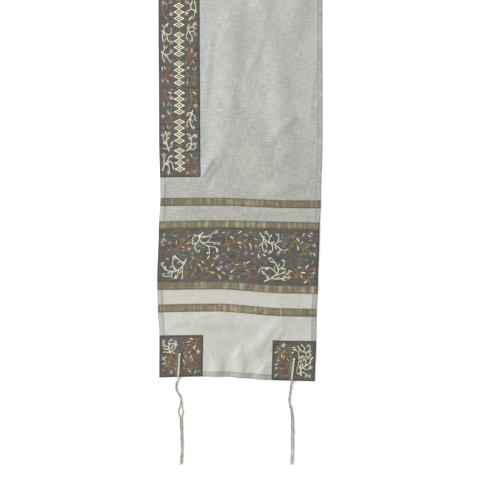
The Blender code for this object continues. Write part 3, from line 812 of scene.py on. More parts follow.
def applique(name, box, cell, material, top=on_applique, holes=()):
    left, right, low, high = box
    across = edge_lines(left, right) + [line for hole in holes for line in hole_lines(hole[0])]
    along = edge_lines(low, high) + [line for hole in holes for line in hole_lines(hole[1])]
    us, vs = lines(left, right, cell[0], across), lines(low, high, cell[1], along)
    return cloth_shell(
        name,
        us,
        vs,
        lambda u, v: top(u, v) - APPLIQUE_THICK,
        sewn_thickness(box),
        material,
        holes,
        lambda u, v: box_distance(u, v, box),
    )


def end_box(end, start, stop, left=-HALF_WIDTH, right=HALF_WIDTH):
    """A rectangle of the cut between two distances in from an end edge."""
    a, b = ENDS[end] * (HALF_LENGTH - start), ENDS[end] * (HALF_LENGTH - stop)
    return left, right, min(a, b), max(a, b)


def square_box(end, side):
    a, b = SIDES[side] * HALF_WIDTH, SIDES[side] * (HALF_WIDTH - SQUARE_WIDTH)
    return end_box(end, 0, SQUARE_LENGTH, min(a, b), max(a, b))


NECK_BOX = (
    -HALF_WIDTH,
    -HALF_WIDTH + NECKBAND_WIDTH,
    -NECKBAND_HALF_LENGTH,
    NECKBAND_HALF_LENGTH,
)


# Materials


class Wiring:
    """Adds nodes to a tree, one linked or filled in a call."""

    def __init__(self, tree):
        self.tree = tree

    def add(self, kind, inputs=None, output=0, **settings):
        node = self.tree.nodes.new(kind)
        for key, value in settings.items():
            setattr(node, key, value)
        for key, value in (inputs or {}).items():
            if isinstance(value, bpy.types.NodeSocket):
                self.tree.links.new(value, node.inputs[key])
            else:
                node.inputs[key].default_value = value
        return node.outputs[output]

    def maths(self, operation, a, b=0.0, c=0.0):
        return self.add("ShaderNodeMath", {0: a, 1: b, 2: c}, operation=operation)

    def stretched_noise(self, coordinates, scale, detail=2.0):
        """Noise whose grains are as long as the scale's lower parts say."""
        placed = self.add("ShaderNodeMapping", {"Vector": coordinates, "Scale": scale})
        return self.add("ShaderNodeTexNoise", {"Vector": placed, "Scale": 1.0, "Detail": detail})

    def ramp(self, factor, low, high):
        """Stretches a band of values to the whole of 0 to 1."""
        return self.add("ShaderNodeMapRange", {"Value": factor, "From Min": low, "From Max": high})

    def mix(self, factor, a, b):
        return self.add("ShaderNodeMix", {0: factor, 6: a, 7: b}, output=2, data_type="RGBA")

    def tint(self, colour, amount, share, shade):
        """Moves a colour towards a shade, by a share of the amount."""
        return self.mix(self.maths("MULTIPLY", amount, share), colour, shade)

    def grains(self, cut, scales):
        """The noises of a cloth, by name."""
        return {
            name: self.stretched_noise(cut, (across, along, 1.0), detail)
            for name, (across, along, detail) in scales.items()
        }

    def cut_places(self):
        """Where each point lies on the cut cloth, and that place's two parts."""
        cut = self.add("ShaderNodeUVMap", uv_map="cut")
        return cut, self.add("ShaderNodeSeparateXYZ", {0: cut}).node.outputs

    def attribute(self, name, kind="FLOAT"):
        return self.add("GeometryNodeInputNamedAttribute", {"Name": name}, data_type=kind)

    def vector(self, x=0.0, y=0.0, z=0.0):
        return self.add("ShaderNodeCombineXYZ", {"X": x, "Y": y, "Z": z})

    def path(self, mesh, spacing):
        """The edges of a guide as curves, with points this far apart."""
        inputs = {"Curve": self.add("GeometryNodeMeshToCurve", {"Mesh": mesh}), "Length": spacing}
        return self.add("GeometryNodeResampleCurve", inputs, mode="LENGTH")

    def circle(self, sides, radius):
        inputs = {"Resolution": sides, "Radius": radius}
        return self.add("GeometryNodeCurvePrimitiveCircle", inputs)

    def ball(self, segments, rings):
        inputs = {"Segments": segments, "Rings": rings, "Radius": 0.5}
        return self.add("GeometryNodeMeshUVSphere", inputs)

    def shaped(self, geometry, **change):
        return self.add("GeometryNodeTransform", {"Geometry": geometry, **change})

    def swept(self, curve, profile, scale=1.0, caps=True):
        inputs = {"Curve": curve, "Profile Curve": profile, "Scale": scale, "Fill Caps": caps}
        return self.add("GeometryNodeCurveToMesh", inputs)

    def facing(self, vector):
        return self.add("FunctionNodeAlignRotationToVector", {"Vector": vector}, axis="Z")

    def at_points(self, points, instance, turned, **more):
        inputs = {"Points": points, "Instance": instance, "Rotation": turned, **more}
        return self.add("GeometryNodeInstanceOnPoints", inputs)


def rgba(colour, factor=1.0):
    return (*(min(1.0, part * factor) for part in colour), 1.0)


def new_material(name, roughness, sheen=0.0, metallic=0.0, specular=0.5):
    material = bpy.data.materials.new(name)
    material.use_nodes = True
    shader = material.node_tree.nodes["Principled BSDF"]
    shader.inputs["Roughness"].default_value = roughness
    shader.inputs["Sheen Weight"].default_value = sheen
    shader.inputs["Sheen Roughness"].default_value = 0.4
    shader.inputs["Metallic"].default_value = metallic
    shader.inputs["Specular IOR Level"].default_value = specular
    return material, shader, Wiring(material.node_tree)


def finish_surface(wires, shader, colour, bump_height, strength, distance, roughness=None):
    wires.tree.links.new(colour, shader.inputs["Base Color"])
    if roughness is not None:
        wires.tree.links.new(roughness, shader.inputs["Roughness"])
    normal = wires.add(
        "ShaderNodeBump", {"Height": bump_height, "Strength": strength, "Distance": distance}
    )
    wires.tree.links.new(normal, shader.inputs["Normal"])


def woven(wires, cut, threads):
    """The height of a plain weave with this many threads to the metre."""
    wave = {"Vector": cut, "Scale": threads / 6.2832 * 2, "Distortion": 0.6}
    heights = (
        wires.add("ShaderNodeTexWave", wave, output=1, bands_direction=direction)
        for direction in ("X", "Y")
    )
    return wires.maths("MULTIPLY", *heights)


def silver_silk():
    """Slubbed silk: ivory beyond the bands and darker where the hem doubles it, with painted shade
    towards the bands, a painted highlight on the left hem and painted shadow lines along the hems.
    """
    shades = colours()
    material, shader, wires = new_material("silver_silk", 0.55, sheen=0.25, specular=0.35)
    cut, parts = wires.cut_places()
    grains = wires.grains(cut, SILK_GRAINS)
    across, along = (wires.maths("ABSOLUTE", parts[k]) for k in (0, 1))
    side_in = wires.maths("SUBTRACT", HALF_WIDTH, across)
    end_in = wires.maths("SUBTRACT", HALF_LENGTH, along)
    inward = wires.maths("MINIMUM", side_in, end_in)
    hem = wires.ramp(inward, HEM_WIDTH + HEM_SOFT, HEM_WIDTH - HEM_SOFT)
    # Painted shadow lines: thin dark lines along the hem's seam and along the cloth's edge, painted
    # darker towards the right side
    from_seam = wires.maths("ABSOLUTE", wires.maths("SUBTRACT", inward, HEM_WIDTH + HEM_SOFT))
    seam_shadow_line = wires.ramp(from_seam, 0.0021, 0.0008)
    edge_shadow_line = wires.ramp(inward, 0.0022, HEM_SOFT)
    calm = wires.maths("MULTIPLY_ADD", wires.ramp(along, 0.620, 0.700), -0.35, 1.0)
    # Painted shade: the silk is painted darker towards the bands, standing in for the light falling
    # off down the cloth
    painted_shade_share = wires.ramp(along, 0.160, 0.480)
    colour = wires.mix(painted_shade_share, rgba(shades.silk), rgba(shades.silk_shade))
    colour = wires.mix(wires.ramp(along, 0.640, 0.700), colour, rgba(shades.silk_end))
    # Painted highlight: the left hem is painted 15% lighter than the right, as if lit from the left
    left_highlight_fade = wires.ramp(parts[0], -0.192, -0.168)
    hem_with_painted_highlight = wires.mix(left_highlight_fade, rgba(shades.silk_hem, 1.15), rgba(shades.silk_hem))
    colour = wires.mix(hem, colour, hem_with_painted_highlight)
    shadow_to_right = wires.maths("MULTIPLY_ADD", wires.ramp(parts[0], -0.160, 0.160), 0.42, 0.38)
    hem_shadow_lines = wires.maths("MAXIMUM", seam_shadow_line, edge_shadow_line)
    colour = wires.tint(colour, hem_shadow_lines, shadow_to_right, rgba(shades.silk_hem, 0.55))
    dark, light = rgba(shades.silk, 0.50), rgba(linear(*SILK_GLINT))
    for name, start, stop, shade, share in (
        ("slubs", 0.52, 0.68, dark, 0.31),
        ("warp", 0.52, 0.68, dark, 0.27),
        ("slubs", 0.48, 0.32, light, 0.33),
        ("warp", 0.48, 0.32, light, 0.27),
        ("cloud", 0.50, 0.66, rgba(shades.silk, 0.60), 0.13),
        ("cloud", 0.50, 0.34, light, 0.13),
    ):
        amount = wires.maths("MULTIPLY", wires.ramp(grains[name], start, stop), share)
        colour = wires.tint(colour, amount, calm, shade)
    warm = wires.ramp(grains["patch"], 0.46, 0.70)
    colour = wires.tint(colour, warm, 0.24, rgba(linear(*SILK_WARM)))
    weave = wires.maths("MULTIPLY_ADD", woven(wires, cut, WEAVES["silk"]), 0.5, grains["weft"])
    finish_surface(wires, shader, colour, weave, 0.30, 0.00022)
    return material


def painted_edge_shade(wires, colour, edge_shade_colour, share):
    """Paints shade along a piece's folded and stitched edge, darkening it towards the edge."""
    inward = wires.add("ShaderNodeAttribute", output=2, attribute_name="inward")
    return wires.tint(colour, wires.ramp(inward, 0.0042, 0.0014), share, edge_shade_colour)


def slate_silk():
    """Dark silk, streaked across and mottled, a little lighter where it is rubbed, with painted
    shade along its edges.
    """
    shades = colours()
    material, shader, wires = new_material("slate_silk", 0.50, sheen=0.20, specular=0.40)
    cut, _ = wires.cut_places()
    grains = wires.grains(cut, SLATE_GRAINS)
    dark, light = rgba(shades.slate, 0.72), rgba(shades.slate, 1.28)
    colour = wires.mix(wires.ramp(grains["streak"], 0.35, 0.65), dark, light)
    colour = wires.tint(colour, grains["weft"], 0.3, rgba(shades.slate, 1.3))
    deep = wires.ramp(grains["mottle"], 0.53, 0.38)
    colour = wires.tint(colour, deep, 0.55, rgba(shades.slate, 0.50))
    worn = wires.ramp(grains["rubbed"], 0.48, 0.72)
    colour = wires.tint(colour, worn, 0.40, rgba(shades.slate_worn))
    # Painted shade along the folded edges
    colour = painted_edge_shade(wires, colour, rgba(shades.slate, 0.42), 0.75)
    weave = wires.maths("MULTIPLY_ADD", woven(wires, cut, WEAVES["slate"]), 0.6, grains["weft"])
    finish_surface(wires, shader, colour, weave, 0.35, 0.00022)
    return material


def bronze_ribbon():
    """Shimmering ribbon with streaks across it, partly its threads' colour and partly painted glints
    and painted shade, darker on the two inner ribbons, with painted shade along its edges.
    """
    shades = colours()
    material, shader, wires = new_material("bronze_ribbon", 0.40, sheen=0.15, specular=0.5)
    cut, parts = wires.cut_places()
    grains = wires.grains(cut, RIBBON_GRAINS)
    across, along = (wires.maths("ABSOLUTE", parts[k]) for k in (0, 1))
    middle = wires.maths("MULTIPLY", wires.ramp(across, 0.19, 0.03), 0.05)
    streak = wires.maths("MULTIPLY", grains["broad"], 0.50)
    streak = wires.maths("MULTIPLY_ADD", grains["fine"], 0.26, streak)
    streak = wires.maths("MULTIPLY_ADD", grains["blotch"], 0.24, streak)
    streak = wires.maths("ADD", streak, middle)
    bronze, dark = rgba(shades.bronze), rgba(shades.bronze_dark)
    # Dark streaks: partly darker threads, partly painted shade in the ribbon's crinkles
    colour = wires.tint(bronze, wires.ramp(streak, 0.50, 0.38), 0.9, dark)
    # Light streaks: partly paler threads, partly painted glints on the crinkled ribbon
    pale_and_glint = wires.ramp(streak, 0.525, 0.650)
    colour = wires.tint(colour, pale_and_glint, 0.8, rgba(shades.bronze_pale_and_glint))
    level = wires.ramp(grains["along"], 0.42, 0.60)
    colour = wires.tint(colour, level, 0.25, rgba(shades.bronze, 1.2))
    colour = wires.tint(colour, wires.ramp(along, 0.600, 0.530), 0.22, dark)
    colour = painted_edge_shade(wires, colour, rgba(shades.bronze_dark, 0.70), 0.50)
    roughness = wires.maths("MULTIPLY_ADD", streak, -0.16, 0.50)
    weave = wires.maths("MULTIPLY_ADD", woven(wires, cut, WEAVES["ribbon"]), 0.4, grains["fine"])
    finish_surface(wires, shader, colour, weave, 0.45, 0.00020, roughness)
    return material


def embroidery_thread(name, colour):
    """Stranded floss: a soft gloss, with its shade moving a little from place to place."""
    material, shader, wires = new_material(name, 0.42, sheen=0.20, specular=0.45)
    place = wires.add("ShaderNodeTexCoord", output=3)
    broad = wires.stretched_noise(place, (70.0, 70.0, 70.0), 2.0)
    fine = wires.stretched_noise(place, (1900.0, 1900.0, 1900.0), 2.0)
    shade = wires.mix(wires.ramp(broad, 0.35, 0.65), rgba(colour, 0.80), rgba(colour, 1.12))
    finish_surface(wires, shader, shade, fine, 0.30, 0.00012)
    return material


def white_wool():
    """Spun wool: matt, with painted shade between its fibres and a darker mottle, and painted shade
    that makes it darker and greyer where it hangs loose past the cloth's end.
    """
    shades = colours()
    material, shader, wires = new_material("white_wool", 0.85, sheen=0.30, specular=0.25)
    place = wires.add("ShaderNodeTexCoord", output=3)
    fibres = wires.stretched_noise(place, (1400.0, 500.0, 1400.0), 4.0)
    broad = wires.stretched_noise(place, (60.0, 60.0, 60.0), 2.0)
    along = wires.maths("ABSOLUTE", wires.add("ShaderNodeSeparateXYZ", {0: place}, output=1))
    # Painted shade: past the cloth's end the wool is painted darker and greyer, with deeper shade
    # between its fibres
    loose = wires.ramp(along, HALF_LENGTH - 0.010, HALF_LENGTH + 0.015)
    wool = wires.mix(loose, rgba(shades.wool), rgba(shades.wool_shade_and_mottle))
    depth = wires.maths("MULTIPLY_ADD", loose, 0.20, 0.10)
    shade = wires.tint(wool, wires.ramp(fibres, 0.7, 0.3), depth, rgba(shades.wool_shade_and_mottle, 0.75))
    shade = wires.tint(shade, wires.ramp(broad, 0.42, 0.68), depth, rgba(shades.wool_shade_and_mottle, 0.80))
    finish_surface(wires, shader, shade, fibres, 0.5, 0.00025)
    return material


def finish(name):
    """A named material, made once."""
    if name in bpy.data.materials:
        material = bpy.data.materials[name]
        if material.get("tallit_finish"):
            return material
        material.name = f"{name}_solid"
    makers = {
        "silver_silk": silver_silk,
        "slate_silk": slate_silk,
        "bronze_ribbon": bronze_ribbon,
        "white_wool": white_wool,
    }
    if name in makers:
        material = makers[name]()
    else:
        material = embroidery_thread(name, getattr(colours(), name.removeprefix("thread_")))
    material["tallit_finish"] = True
    return material


# Geometry Nodes trees


def new_tree(name, inputs):
    """A tree with a mesh going in and coming out, a material and inputs with these defaults."""
    tree = bpy.data.node_groups.new(name, "GeometryNodeTree")
    sockets = tree.interface
    sockets.new_socket("Geometry", in_out="INPUT", socket_type="NodeSocketGeometry")
    for label, default in inputs.items():
        kind = "NodeSocketInt" if isinstance(default, int) else "NodeSocketFloat"
        sockets.new_socket(label, in_out="INPUT", socket_type=kind).default_value = default
    sockets.new_socket("Material", in_out="INPUT", socket_type="NodeSocketMaterial")
    sockets.new_socket("Geometry", in_out="OUTPUT", socket_type="NodeSocketGeometry")
    return Wiring(tree), tree.nodes.new("NodeGroupInput").outputs


def end_tree(wires, geometry, material):
    """Realizes the instances and sets the material, as the last two steps of every tree."""
    real = wires.add("GeometryNodeRealizeInstances", {"Geometry": geometry})
    made = wires.add("GeometryNodeSetMaterial", {"Geometry": real, "Material": material})
    result = wires.tree.nodes.new("NodeGroupOutput")
    wires.tree.links.new(made, result.inputs[0])
    return wires.tree


def satin_tree():
    """Satin stitch along a path: a low round bar whose every other ring stands a little proud."""
    inputs = {"Stitch Pitch": 0.0007, "Ridge": 0.16, "Height": 0.45}
    wires, given = new_tree("satin_stitch", inputs)
    curve = wires.path(given["Geometry"], given["Stitch Pitch"])
    curve = wires.add("GeometryNodeSetCurveNormal", {"Curve": curve}, mode="Z_UP")
    odd = wires.maths("MODULO", wires.add("GeometryNodeSplineParameter", output=2), 2.0)
    proud = wires.maths("MULTIPLY_ADD", odd, given["Ridge"], 1.0)
    scale = wires.maths("MULTIPLY", wires.attribute("half_width"), proud)
    half_circle = {"Resolution": SATIN_SIDES, "Radius": 1.0}
    half_circle |= {"Start Angle": math.pi, "Sweep Angle": math.pi}
    profile = wires.add("GeometryNodeCurveArc", half_circle)
    profile = wires.add("GeometryNodeSetSplineCyclic", {"Geometry": profile, "Cyclic": True})
    profile = wires.shaped(profile, Scale=wires.vector(1.0, given["Height"], 1.0))
    return end_tree(wires, wires.swept(curve, profile, scale), given["Material"])


def motif_tree():
    """Padded petals round each point, turned and sized by the point's own values."""
    inputs = {"Petals": 5, "Reach": 0.25, "Length": 0.5, "Width": 0.4, "Height": 0.1}
    wires, given = new_tree("padded_motif", inputs)
    shape = wires.vector(given["Length"], given["Width"], given["Height"])
    place = wires.vector(given["Reach"])
    petal = wires.shaped(wires.ball(*PETAL_SIDES), Translation=place, Scale=shape)
    spokes = {"Count": given["Petals"], "Offset": (0.0, 0.0, 0.0)}
    spokes = wires.add("GeometryNodeMeshLine", spokes)
    index = wires.add("GeometryNodeInputIndex")
    turn = wires.maths("DIVIDE", wires.maths("MULTIPLY", index, 2 * math.pi), given["Petals"])
    motif = wires.at_points(spokes, petal, wires.vector(z=turn))
    heading = wires.vector(z=wires.attribute("turn"))
    motifs = wires.at_points(given["Geometry"], motif, heading, Scale=wires.attribute("size"))
    return end_tree(wires, motifs, given["Material"])


def stitch_tree():
    """A row of seam stitches: short thread loops laid end to end along a path."""
    inputs = {"Pitch": 0.0029, "Length": 0.0021, "Thickness": 0.0005}
    wires, given = new_tree("seam_stitches", inputs)
    curve = wires.path(given["Geometry"], given["Pitch"])
    shape = wires.vector(given["Thickness"], given["Thickness"], given["Length"])
    loop = wires.shaped(wires.ball(*LOOP_SIDES), Scale=shape)
    heading = wires.facing(wires.add("GeometryNodeInputTangent"))
    return end_tree(wires, wires.at_points(curve, loop, heading), given["Material"])


def yarn_tree():
    """Spun yarn along a path: an oval section that turns steadily, as two twisted plies do."""
    inputs = {"Turn Length": 0.0034, "Ring Pitch": 0.0007}
    inputs |= {"Half Width": 0.00068, "Half Height": 0.00046}
    wires, given = new_tree("spun_yarn", inputs)
    curve = wires.path(given["Geometry"], given["Ring Pitch"])
    along = wires.add("GeometryNodeSplineParameter", output=1)
    turned = wires.maths("DIVIDE", wires.maths("MULTIPLY", along, 2 * math.pi), given["Turn Length"])
    curve = wires.add("GeometryNodeSetCurveTilt", {"Curve": curve, "Tilt": turned})
    shape = wires.vector(given["Half Width"], given["Half Height"], 1.0)
    section = wires.shaped(wires.circle(YARN_SIDES, 1.0), Scale=shape)
    return end_tree(wires, wires.swept(curve, section), given["Material"])


def winding_tree():
    """Turns of thread wound round a path, each slanted, and sized by the point's own value."""
    inputs = {"Wrap Radius": 0.0018, "Thread Radius": 0.0006, "Slant": 0.18}
    wires, given = new_tree("wound_thread", inputs)
    ring = wires.circle(TURN_SIDES, given["Wrap Radius"])
    thread = wires.circle(YARN_SIDES, given["Thread Radius"])
    turn = wires.swept(ring, thread, caps=False)
    turn = wires.shaped(turn, Rotation=wires.vector(given["Slant"]))
    heading = wires.facing(wires.attribute("direction", "FLOAT_VECTOR"))
    turns = wires.at_points(given["Geometry"], turn, heading, Scale=wires.attribute("size"))
    return end_tree(wires, turns, given["Material"])


TREES = {
    "satin_stitch": satin_tree,
    "padded_motif": motif_tree,
    "seam_stitches": stitch_tree,
    "spun_yarn": yarn_tree,
    "wound_thread": winding_tree,
}


def grown(name, guide_mesh, tree_name, inputs):
    """Grows a tree on a guide mesh and returns the plain mesh that it makes."""
    tree = bpy.data.node_groups.get(tree_name) or TREES[tree_name]()
    guide = bpy.data.objects.new(f"{name}_guide", guide_mesh)
    bpy.context.scene.collection.objects.link(guide)
    modifier = guide.modifiers.new(tree_name, "NODES")
    modifier.node_group = tree
    for item in tree.interface.items_tree:
        if item.item_type == "SOCKET" and item.in_out == "INPUT" and item.name in inputs:
            modifier[item.identifier] = inputs[item.name]
    graph = bpy.context.evaluated_depsgraph_get()
    mesh = bpy.data.meshes.new_from_object(guide.evaluated_get(graph), depsgraph=graph)
    guide.modifiers.clear()
    bpy.data.objects.remove(guide)
    bpy.data.meshes.remove(guide_mesh)
    if not mesh.polygons:
        raise RuntimeError(f"{name}: the {tree_name} tree made nothing")
    return mesh


def path_mesh(paths, closed=False):
    """A mesh of edges along the paths; a third column is kept as each point's half width."""
    mesh = bpy.data.meshes.new("paths")
    points, edges, extra = [], [], []
    for path in paths:
        first = len(points)
        points += path[:, :3].tolist()
        extra += path[:, 3].tolist() if path.shape[1] > 3 else [0.0] * len(path)
        edges += [(first + k, first + k + 1) for k in range(len(path) - 1)]
        if closed:
            edges.append((first + len(path) - 1, first))
    mesh.from_pydata(points, edges, [])
    set_values(mesh, "half_width", extra)
    return mesh


def point_mesh(rows):
    """A mesh of single points; each row is x, y, z, turn and size."""
    rows = np.asarray(rows, float)
    mesh = bpy.data.meshes.new("points")
    mesh.from_pydata(rows[:, :3].tolist(), [], [])
    set_values(mesh, "turn", rows[:, 3])
    set_values(mesh, "size", rows[:, 4])
    return mesh


def joined(name, meshes, surface=None):
    """Joins plain meshes into one object, laid on a surface of the cloth if one is given."""
    points, polygons, finishes, slots = [], [], [], []
    for mesh in meshes:
        co = np.empty(len(mesh.vertices) * 3, np.float32)
        mesh.vertices.foreach_get("co", co)
        first = sum(len(part) for part in points)
        points.append(co.reshape(-1, 3).astype(float))
        corners = np.empty(len(mesh.loops), np.int32)
        mesh.loops.foreach_get("vertex_index", corners)
        starts = np.empty(len(mesh.polygons), np.int32)
        mesh.polygons.foreach_get("loop_start", starts)
        polygons += [(part + first).tolist() for part in np.split(corners, starts[1:])]
        material = mesh.materials[mesh.polygons[0].material_index]
        if material not in finishes:
            finishes.append(material)
        slots += [finishes.index(material)] * len(mesh.polygons)
        bpy.data.meshes.remove(mesh)
    placed = np.concatenate(points)
    if surface is not None:
        u, v, height = placed.T
        x, y = laid(u, v)
        placed = np.stack([x, y, surface(u, v) + height], -1)
    obj = add_piece(name, placed, polygons, finishes[0])
    for material in finishes[1:]:
        obj.data.materials.append(material)
    obj.data.polygons.foreach_set("material_index", slots)
    return obj


# Embroidery


def through(points, step):
    """A smooth curve through the points, as closely spaced as the step asks."""
    points = np.asarray(points, float)
    ahead = np.concatenate([points[:1] * 2 - points[1:2], points, points[-1:] * 2 - points[-2:-1]])
    made = []
    for i in range(len(points) - 1):
        p0, p1, p2, p3 = ahead[i : i + 4]
        count = max(2, math.ceil(np.linalg.norm(p2 - p1) / step))
        t = (np.arange(count) / count)[:, None]
        made.append(
            0.5
            * (
                2 * p1
                + (p2 - p0) * t
                + (2 * p0 - 5 * p1 + 4 * p2 - p3) * t**2
                + (3 * p1 - p0 - 3 * p2 + p3) * t**3
            )
        )
    return np.concatenate([*made, points[-1:]])


# Four sprays, each drawn on a cell that reaches from -1 to 1 both ways. A stem is what it ends
# in, where it leaves the first stem, and the spots it runs through.
SPRAYS = (
    (
        (
            "blossom",
            0.0,
            ((-0.82, -0.88), (-0.34, -0.66), (0.0, -0.15), (0.08, 0.34), (0.45, 0.72), (0.88, 0.56)),
        ),
        ("curl", 0.22, ((0.30, -0.74), (0.74, -0.46))),
        ("blossom", 0.42, ((-0.42, -0.12), (-0.84, -0.34))),
        ("curl", 0.62, ((-0.24, 0.62), (-0.66, 0.66))),
        ("leaf", 0.52, ((0.52, 0.12), (0.82, 0.0))),
    ),
    (
        ("blossom", 0.0, ((0.22, -0.95), (0.02, -0.52), (-0.16, 0.0), (-0.04, 0.46), (0.22, 0.84))),
        ("curl", 0.20, ((0.46, -0.50), (0.80, -0.18))),
        ("blossom", 0.46, ((-0.58, 0.10), (-0.84, 0.56))),
        ("leaf", 0.16, ((-0.34, -0.74), (-0.78, -0.66))),
        ("blossom", 0.66, ((0.40, 0.26), (0.84, 0.42))),
        ("leaf", 0.36, ((-0.52, -0.30), (-0.82, -0.16))),
    ),
    (
        ("curl", 0.0, ((-0.88, 0.74), (-0.62, 0.10), (-0.08, -0.26), (0.50, -0.20), (0.84, 0.18))),
        ("blossom", 0.26, ((-0.62, -0.34), (-0.56, -0.82))),
        ("blossom", 0.46, ((0.12, 0.26), (0.06, 0.78))),
        ("curl", 0.58, ((0.26, -0.66), (0.72, -0.76))),
        ("leaf", 0.14, ((-0.44, 0.56), (-0.28, 0.80))),
        ("leaf", 0.40, ((-0.22, -0.62), (-0.14, -0.90))),
    ),
    (
        ("curl", 0.0, ((-0.90, -0.28), (-0.42, -0.52), (0.06, -0.24), (0.40, 0.22), (0.84, 0.20))),
        ("blossom", 0.24, ((-0.52, 0.04), (-0.80, 0.52))),
        ("blossom", 0.50, ((-0.06, 0.30), (0.10, 0.78))),
        ("curl", 0.36, ((0.34, -0.72), (0.76, -0.60))),
        ("leaf", 0.70, ((0.50, 0.56), (0.82, 0.74))),
        ("leaf", 0.14, ((-0.50, -0.84), (-0.22, -0.90))),
    ),
)


def ahead_of(turn):
    """One step in a direction of the cloth."""
    return np.array([math.cos(turn), math.sin(turn)])


class Embroidery:
    """Collects the stems and the motifs of one ground, and keeps what is added clear of them."""

    def __init__(self, seed, area, keep_out=()):
        self.random = np.random.default_rng(seed)
        self.area = area
        self.keep_out = keep_out
        self.stems = {thread: [] for thread in THREADS}
        self.motifs = {}
        self.taken = np.zeros((0, 2))
        self.twigs = []

    def room(self, points):
        """How far each point is from the ground's edge, a bare place and what is stitched."""
        u, v = points[:, 0], points[:, 1]
        clear = box_distance(u, v, self.area)
        for box in self.keep_out:
            clear = np.minimum(clear, -box_distance(u, v, box))
        if len(self.taken):
            apart = np.hypot(u[:, None] - self.taken[:, 0], v[:, None] - self.taken[:, 1])
            clear = np.minimum(clear, apart.min(1))
        return clear

    def put_stem(self, points, root, tip, thread):
        self.stems[thread].append(tapered(points, root, tip))
        self.taken = np.concatenate([self.taken, points])

    def put_motif(self, kind, thread, spot, turn, size, reach):
        """Adds a motif, and takes up a ring of this radius about its middle."""
        self.motifs.setdefault((kind, thread), []).append((*spot, 0.0, turn, size))
        angles = np.linspace(0, 2 * math.pi, 6, endpoint=False)
        ring = np.stack([np.cos(angles), np.sin(angles)], -1) * reach * 0.7
        self.taken = np.concatenate([self.taken, [spot], ring + spot])

    def free_spot(self):
        """The most open of some random places of the ground, and how open it is."""
        left, right, low, high = self.area
        u = self.random.uniform(left, right, FILLING_TRIES)
        v = self.random.uniform(low, high, FILLING_TRIES)
        spots = np.stack([u, v], -1)
        clear = self.room(spots)
        return spots[clear.argmax()], clear.max()

    def pick(self, threads):
        return threads[self.random.integers(len(threads))]


def tapered(points, root, tip):
    """Adds half widths to a path: full at its root, slender at its tip, rounded at both ends."""
    t = np.linspace(0, 1, len(points))
    width = root + (tip - root) * t
    ends = np.minimum(1, np.minimum(t, 1 - t) * len(points) / 1.5 + 0.45)
    return np.column_stack([points, np.zeros(len(points)), width * ends])


def curled(points, heading, side):
    """Carries a path on into a curl that tightens towards its middle."""
    turns = heading + side * np.cumsum(np.linspace(*CURL_TURNS, CURL_STEPS))
    reach = np.linspace(*CURL_REACH, CURL_STEPS)[:, None]
    added = points[-1] + np.cumsum(reach * np.stack([np.cos(turns), np.sin(turns)], -1), 0)
    return np.concatenate([points, added])


def end_stem(art, points, kind, threads, half_width, cell):
    """Stitches a stem and what it carries at its tip, all of it inside the cell."""
    steps = np.diff(points, axis=0)
    heading = math.atan2(steps[-1, 1], steps[-1, 0])
    middle = steps[len(steps) // 2]
    side = math.copysign(1, middle[0] * steps[-1, 1] - middle[1] * steps[-1, 0])
    if kind == "curl":
        points = inside_box(curled(points, heading, side), cell)
        art.put_stem(points, half_width, half_width * 0.7, threads["stem"])
        return
    art.put_stem(points, half_width, half_width * 0.8, threads["stem"])
    ahead = ahead_of(heading)
    if kind == "blossom":
        reach = sizes().blossom_size / 2
        spot = inside_box(points[-1] + ahead * reach * 0.5, shrunk(cell, reach * 0.7))
    else:
        reach = sizes().leaf_length / 2
        spot = inside_box(points[-1] + ahead * reach * 2, cell) - ahead * reach * 2
    size = art.random.uniform(0.85, 1.08)
    art.put_motif(kind, art.pick(threads[kind]), spot, heading, size, reach)


def inside_box(points, box):
    """The points, with those outside the box moved to its edge."""
    left, right, low, high = box
    return np.clip(points, (left, low), (right, high))


def spray(art, cell, threads):
    """Draws one of the sprays in a cell, mirrored, turned over and moved about at random."""
    left, right, low, high = cell
    middle = np.array([left + right, low + high]) / 2
    half = np.array([right - left, high - low]) / 2
    design = art.pick(SPRAYS)
    flips = art.random.choice([-1, 1], 2)
    swapped = art.random.random() < 0.5
    width = sizes().vine_width / 2
    main = None
    narrow = half.min() < NARROW_CELL
    for kind, leaves_at, spots in design[:NARROW_STEMS] if narrow else design:
        if narrow and kind == "curl":
            kind = "leaf"
        shifts = art.random.uniform(-STEM_SHIFT, STEM_SHIFT, (len(spots), 2))
        spots = np.array(spots) + shifts
        placed = middle + (spots[:, ::-1] if swapped else spots) * flips * half
        if main is not None:
            placed = np.vstack([main[int(leaves_at * len(main))], placed])
        path = inside_box(through(placed, STEM_STEP), cell)
        if main is None:
            main = path
        end_stem(art, path, kind, threads, width, cell)
        art.twigs.append((path, threads))
        width = sizes().vine_width * SIDE_STEM


def cells(art, box, columns, rows):
    """Splits a box into rows of cells of uneven width."""
    left, right, low, high = box
    tall = (high - low) / rows
    for row in range(rows):
        shares = art.random.uniform(0.75, 1.25, columns)
        edges = left + (right - left) * np.concatenate([[0], np.cumsum(shares) / shares.sum()])
        for start, stop in zip(edges[:-1], edges[1:]):
            lift = tall * row + art.random.uniform(0, 0.12) * tall * (0 < row)
            yield start, stop, low + lift, low + tall * (row + 1)


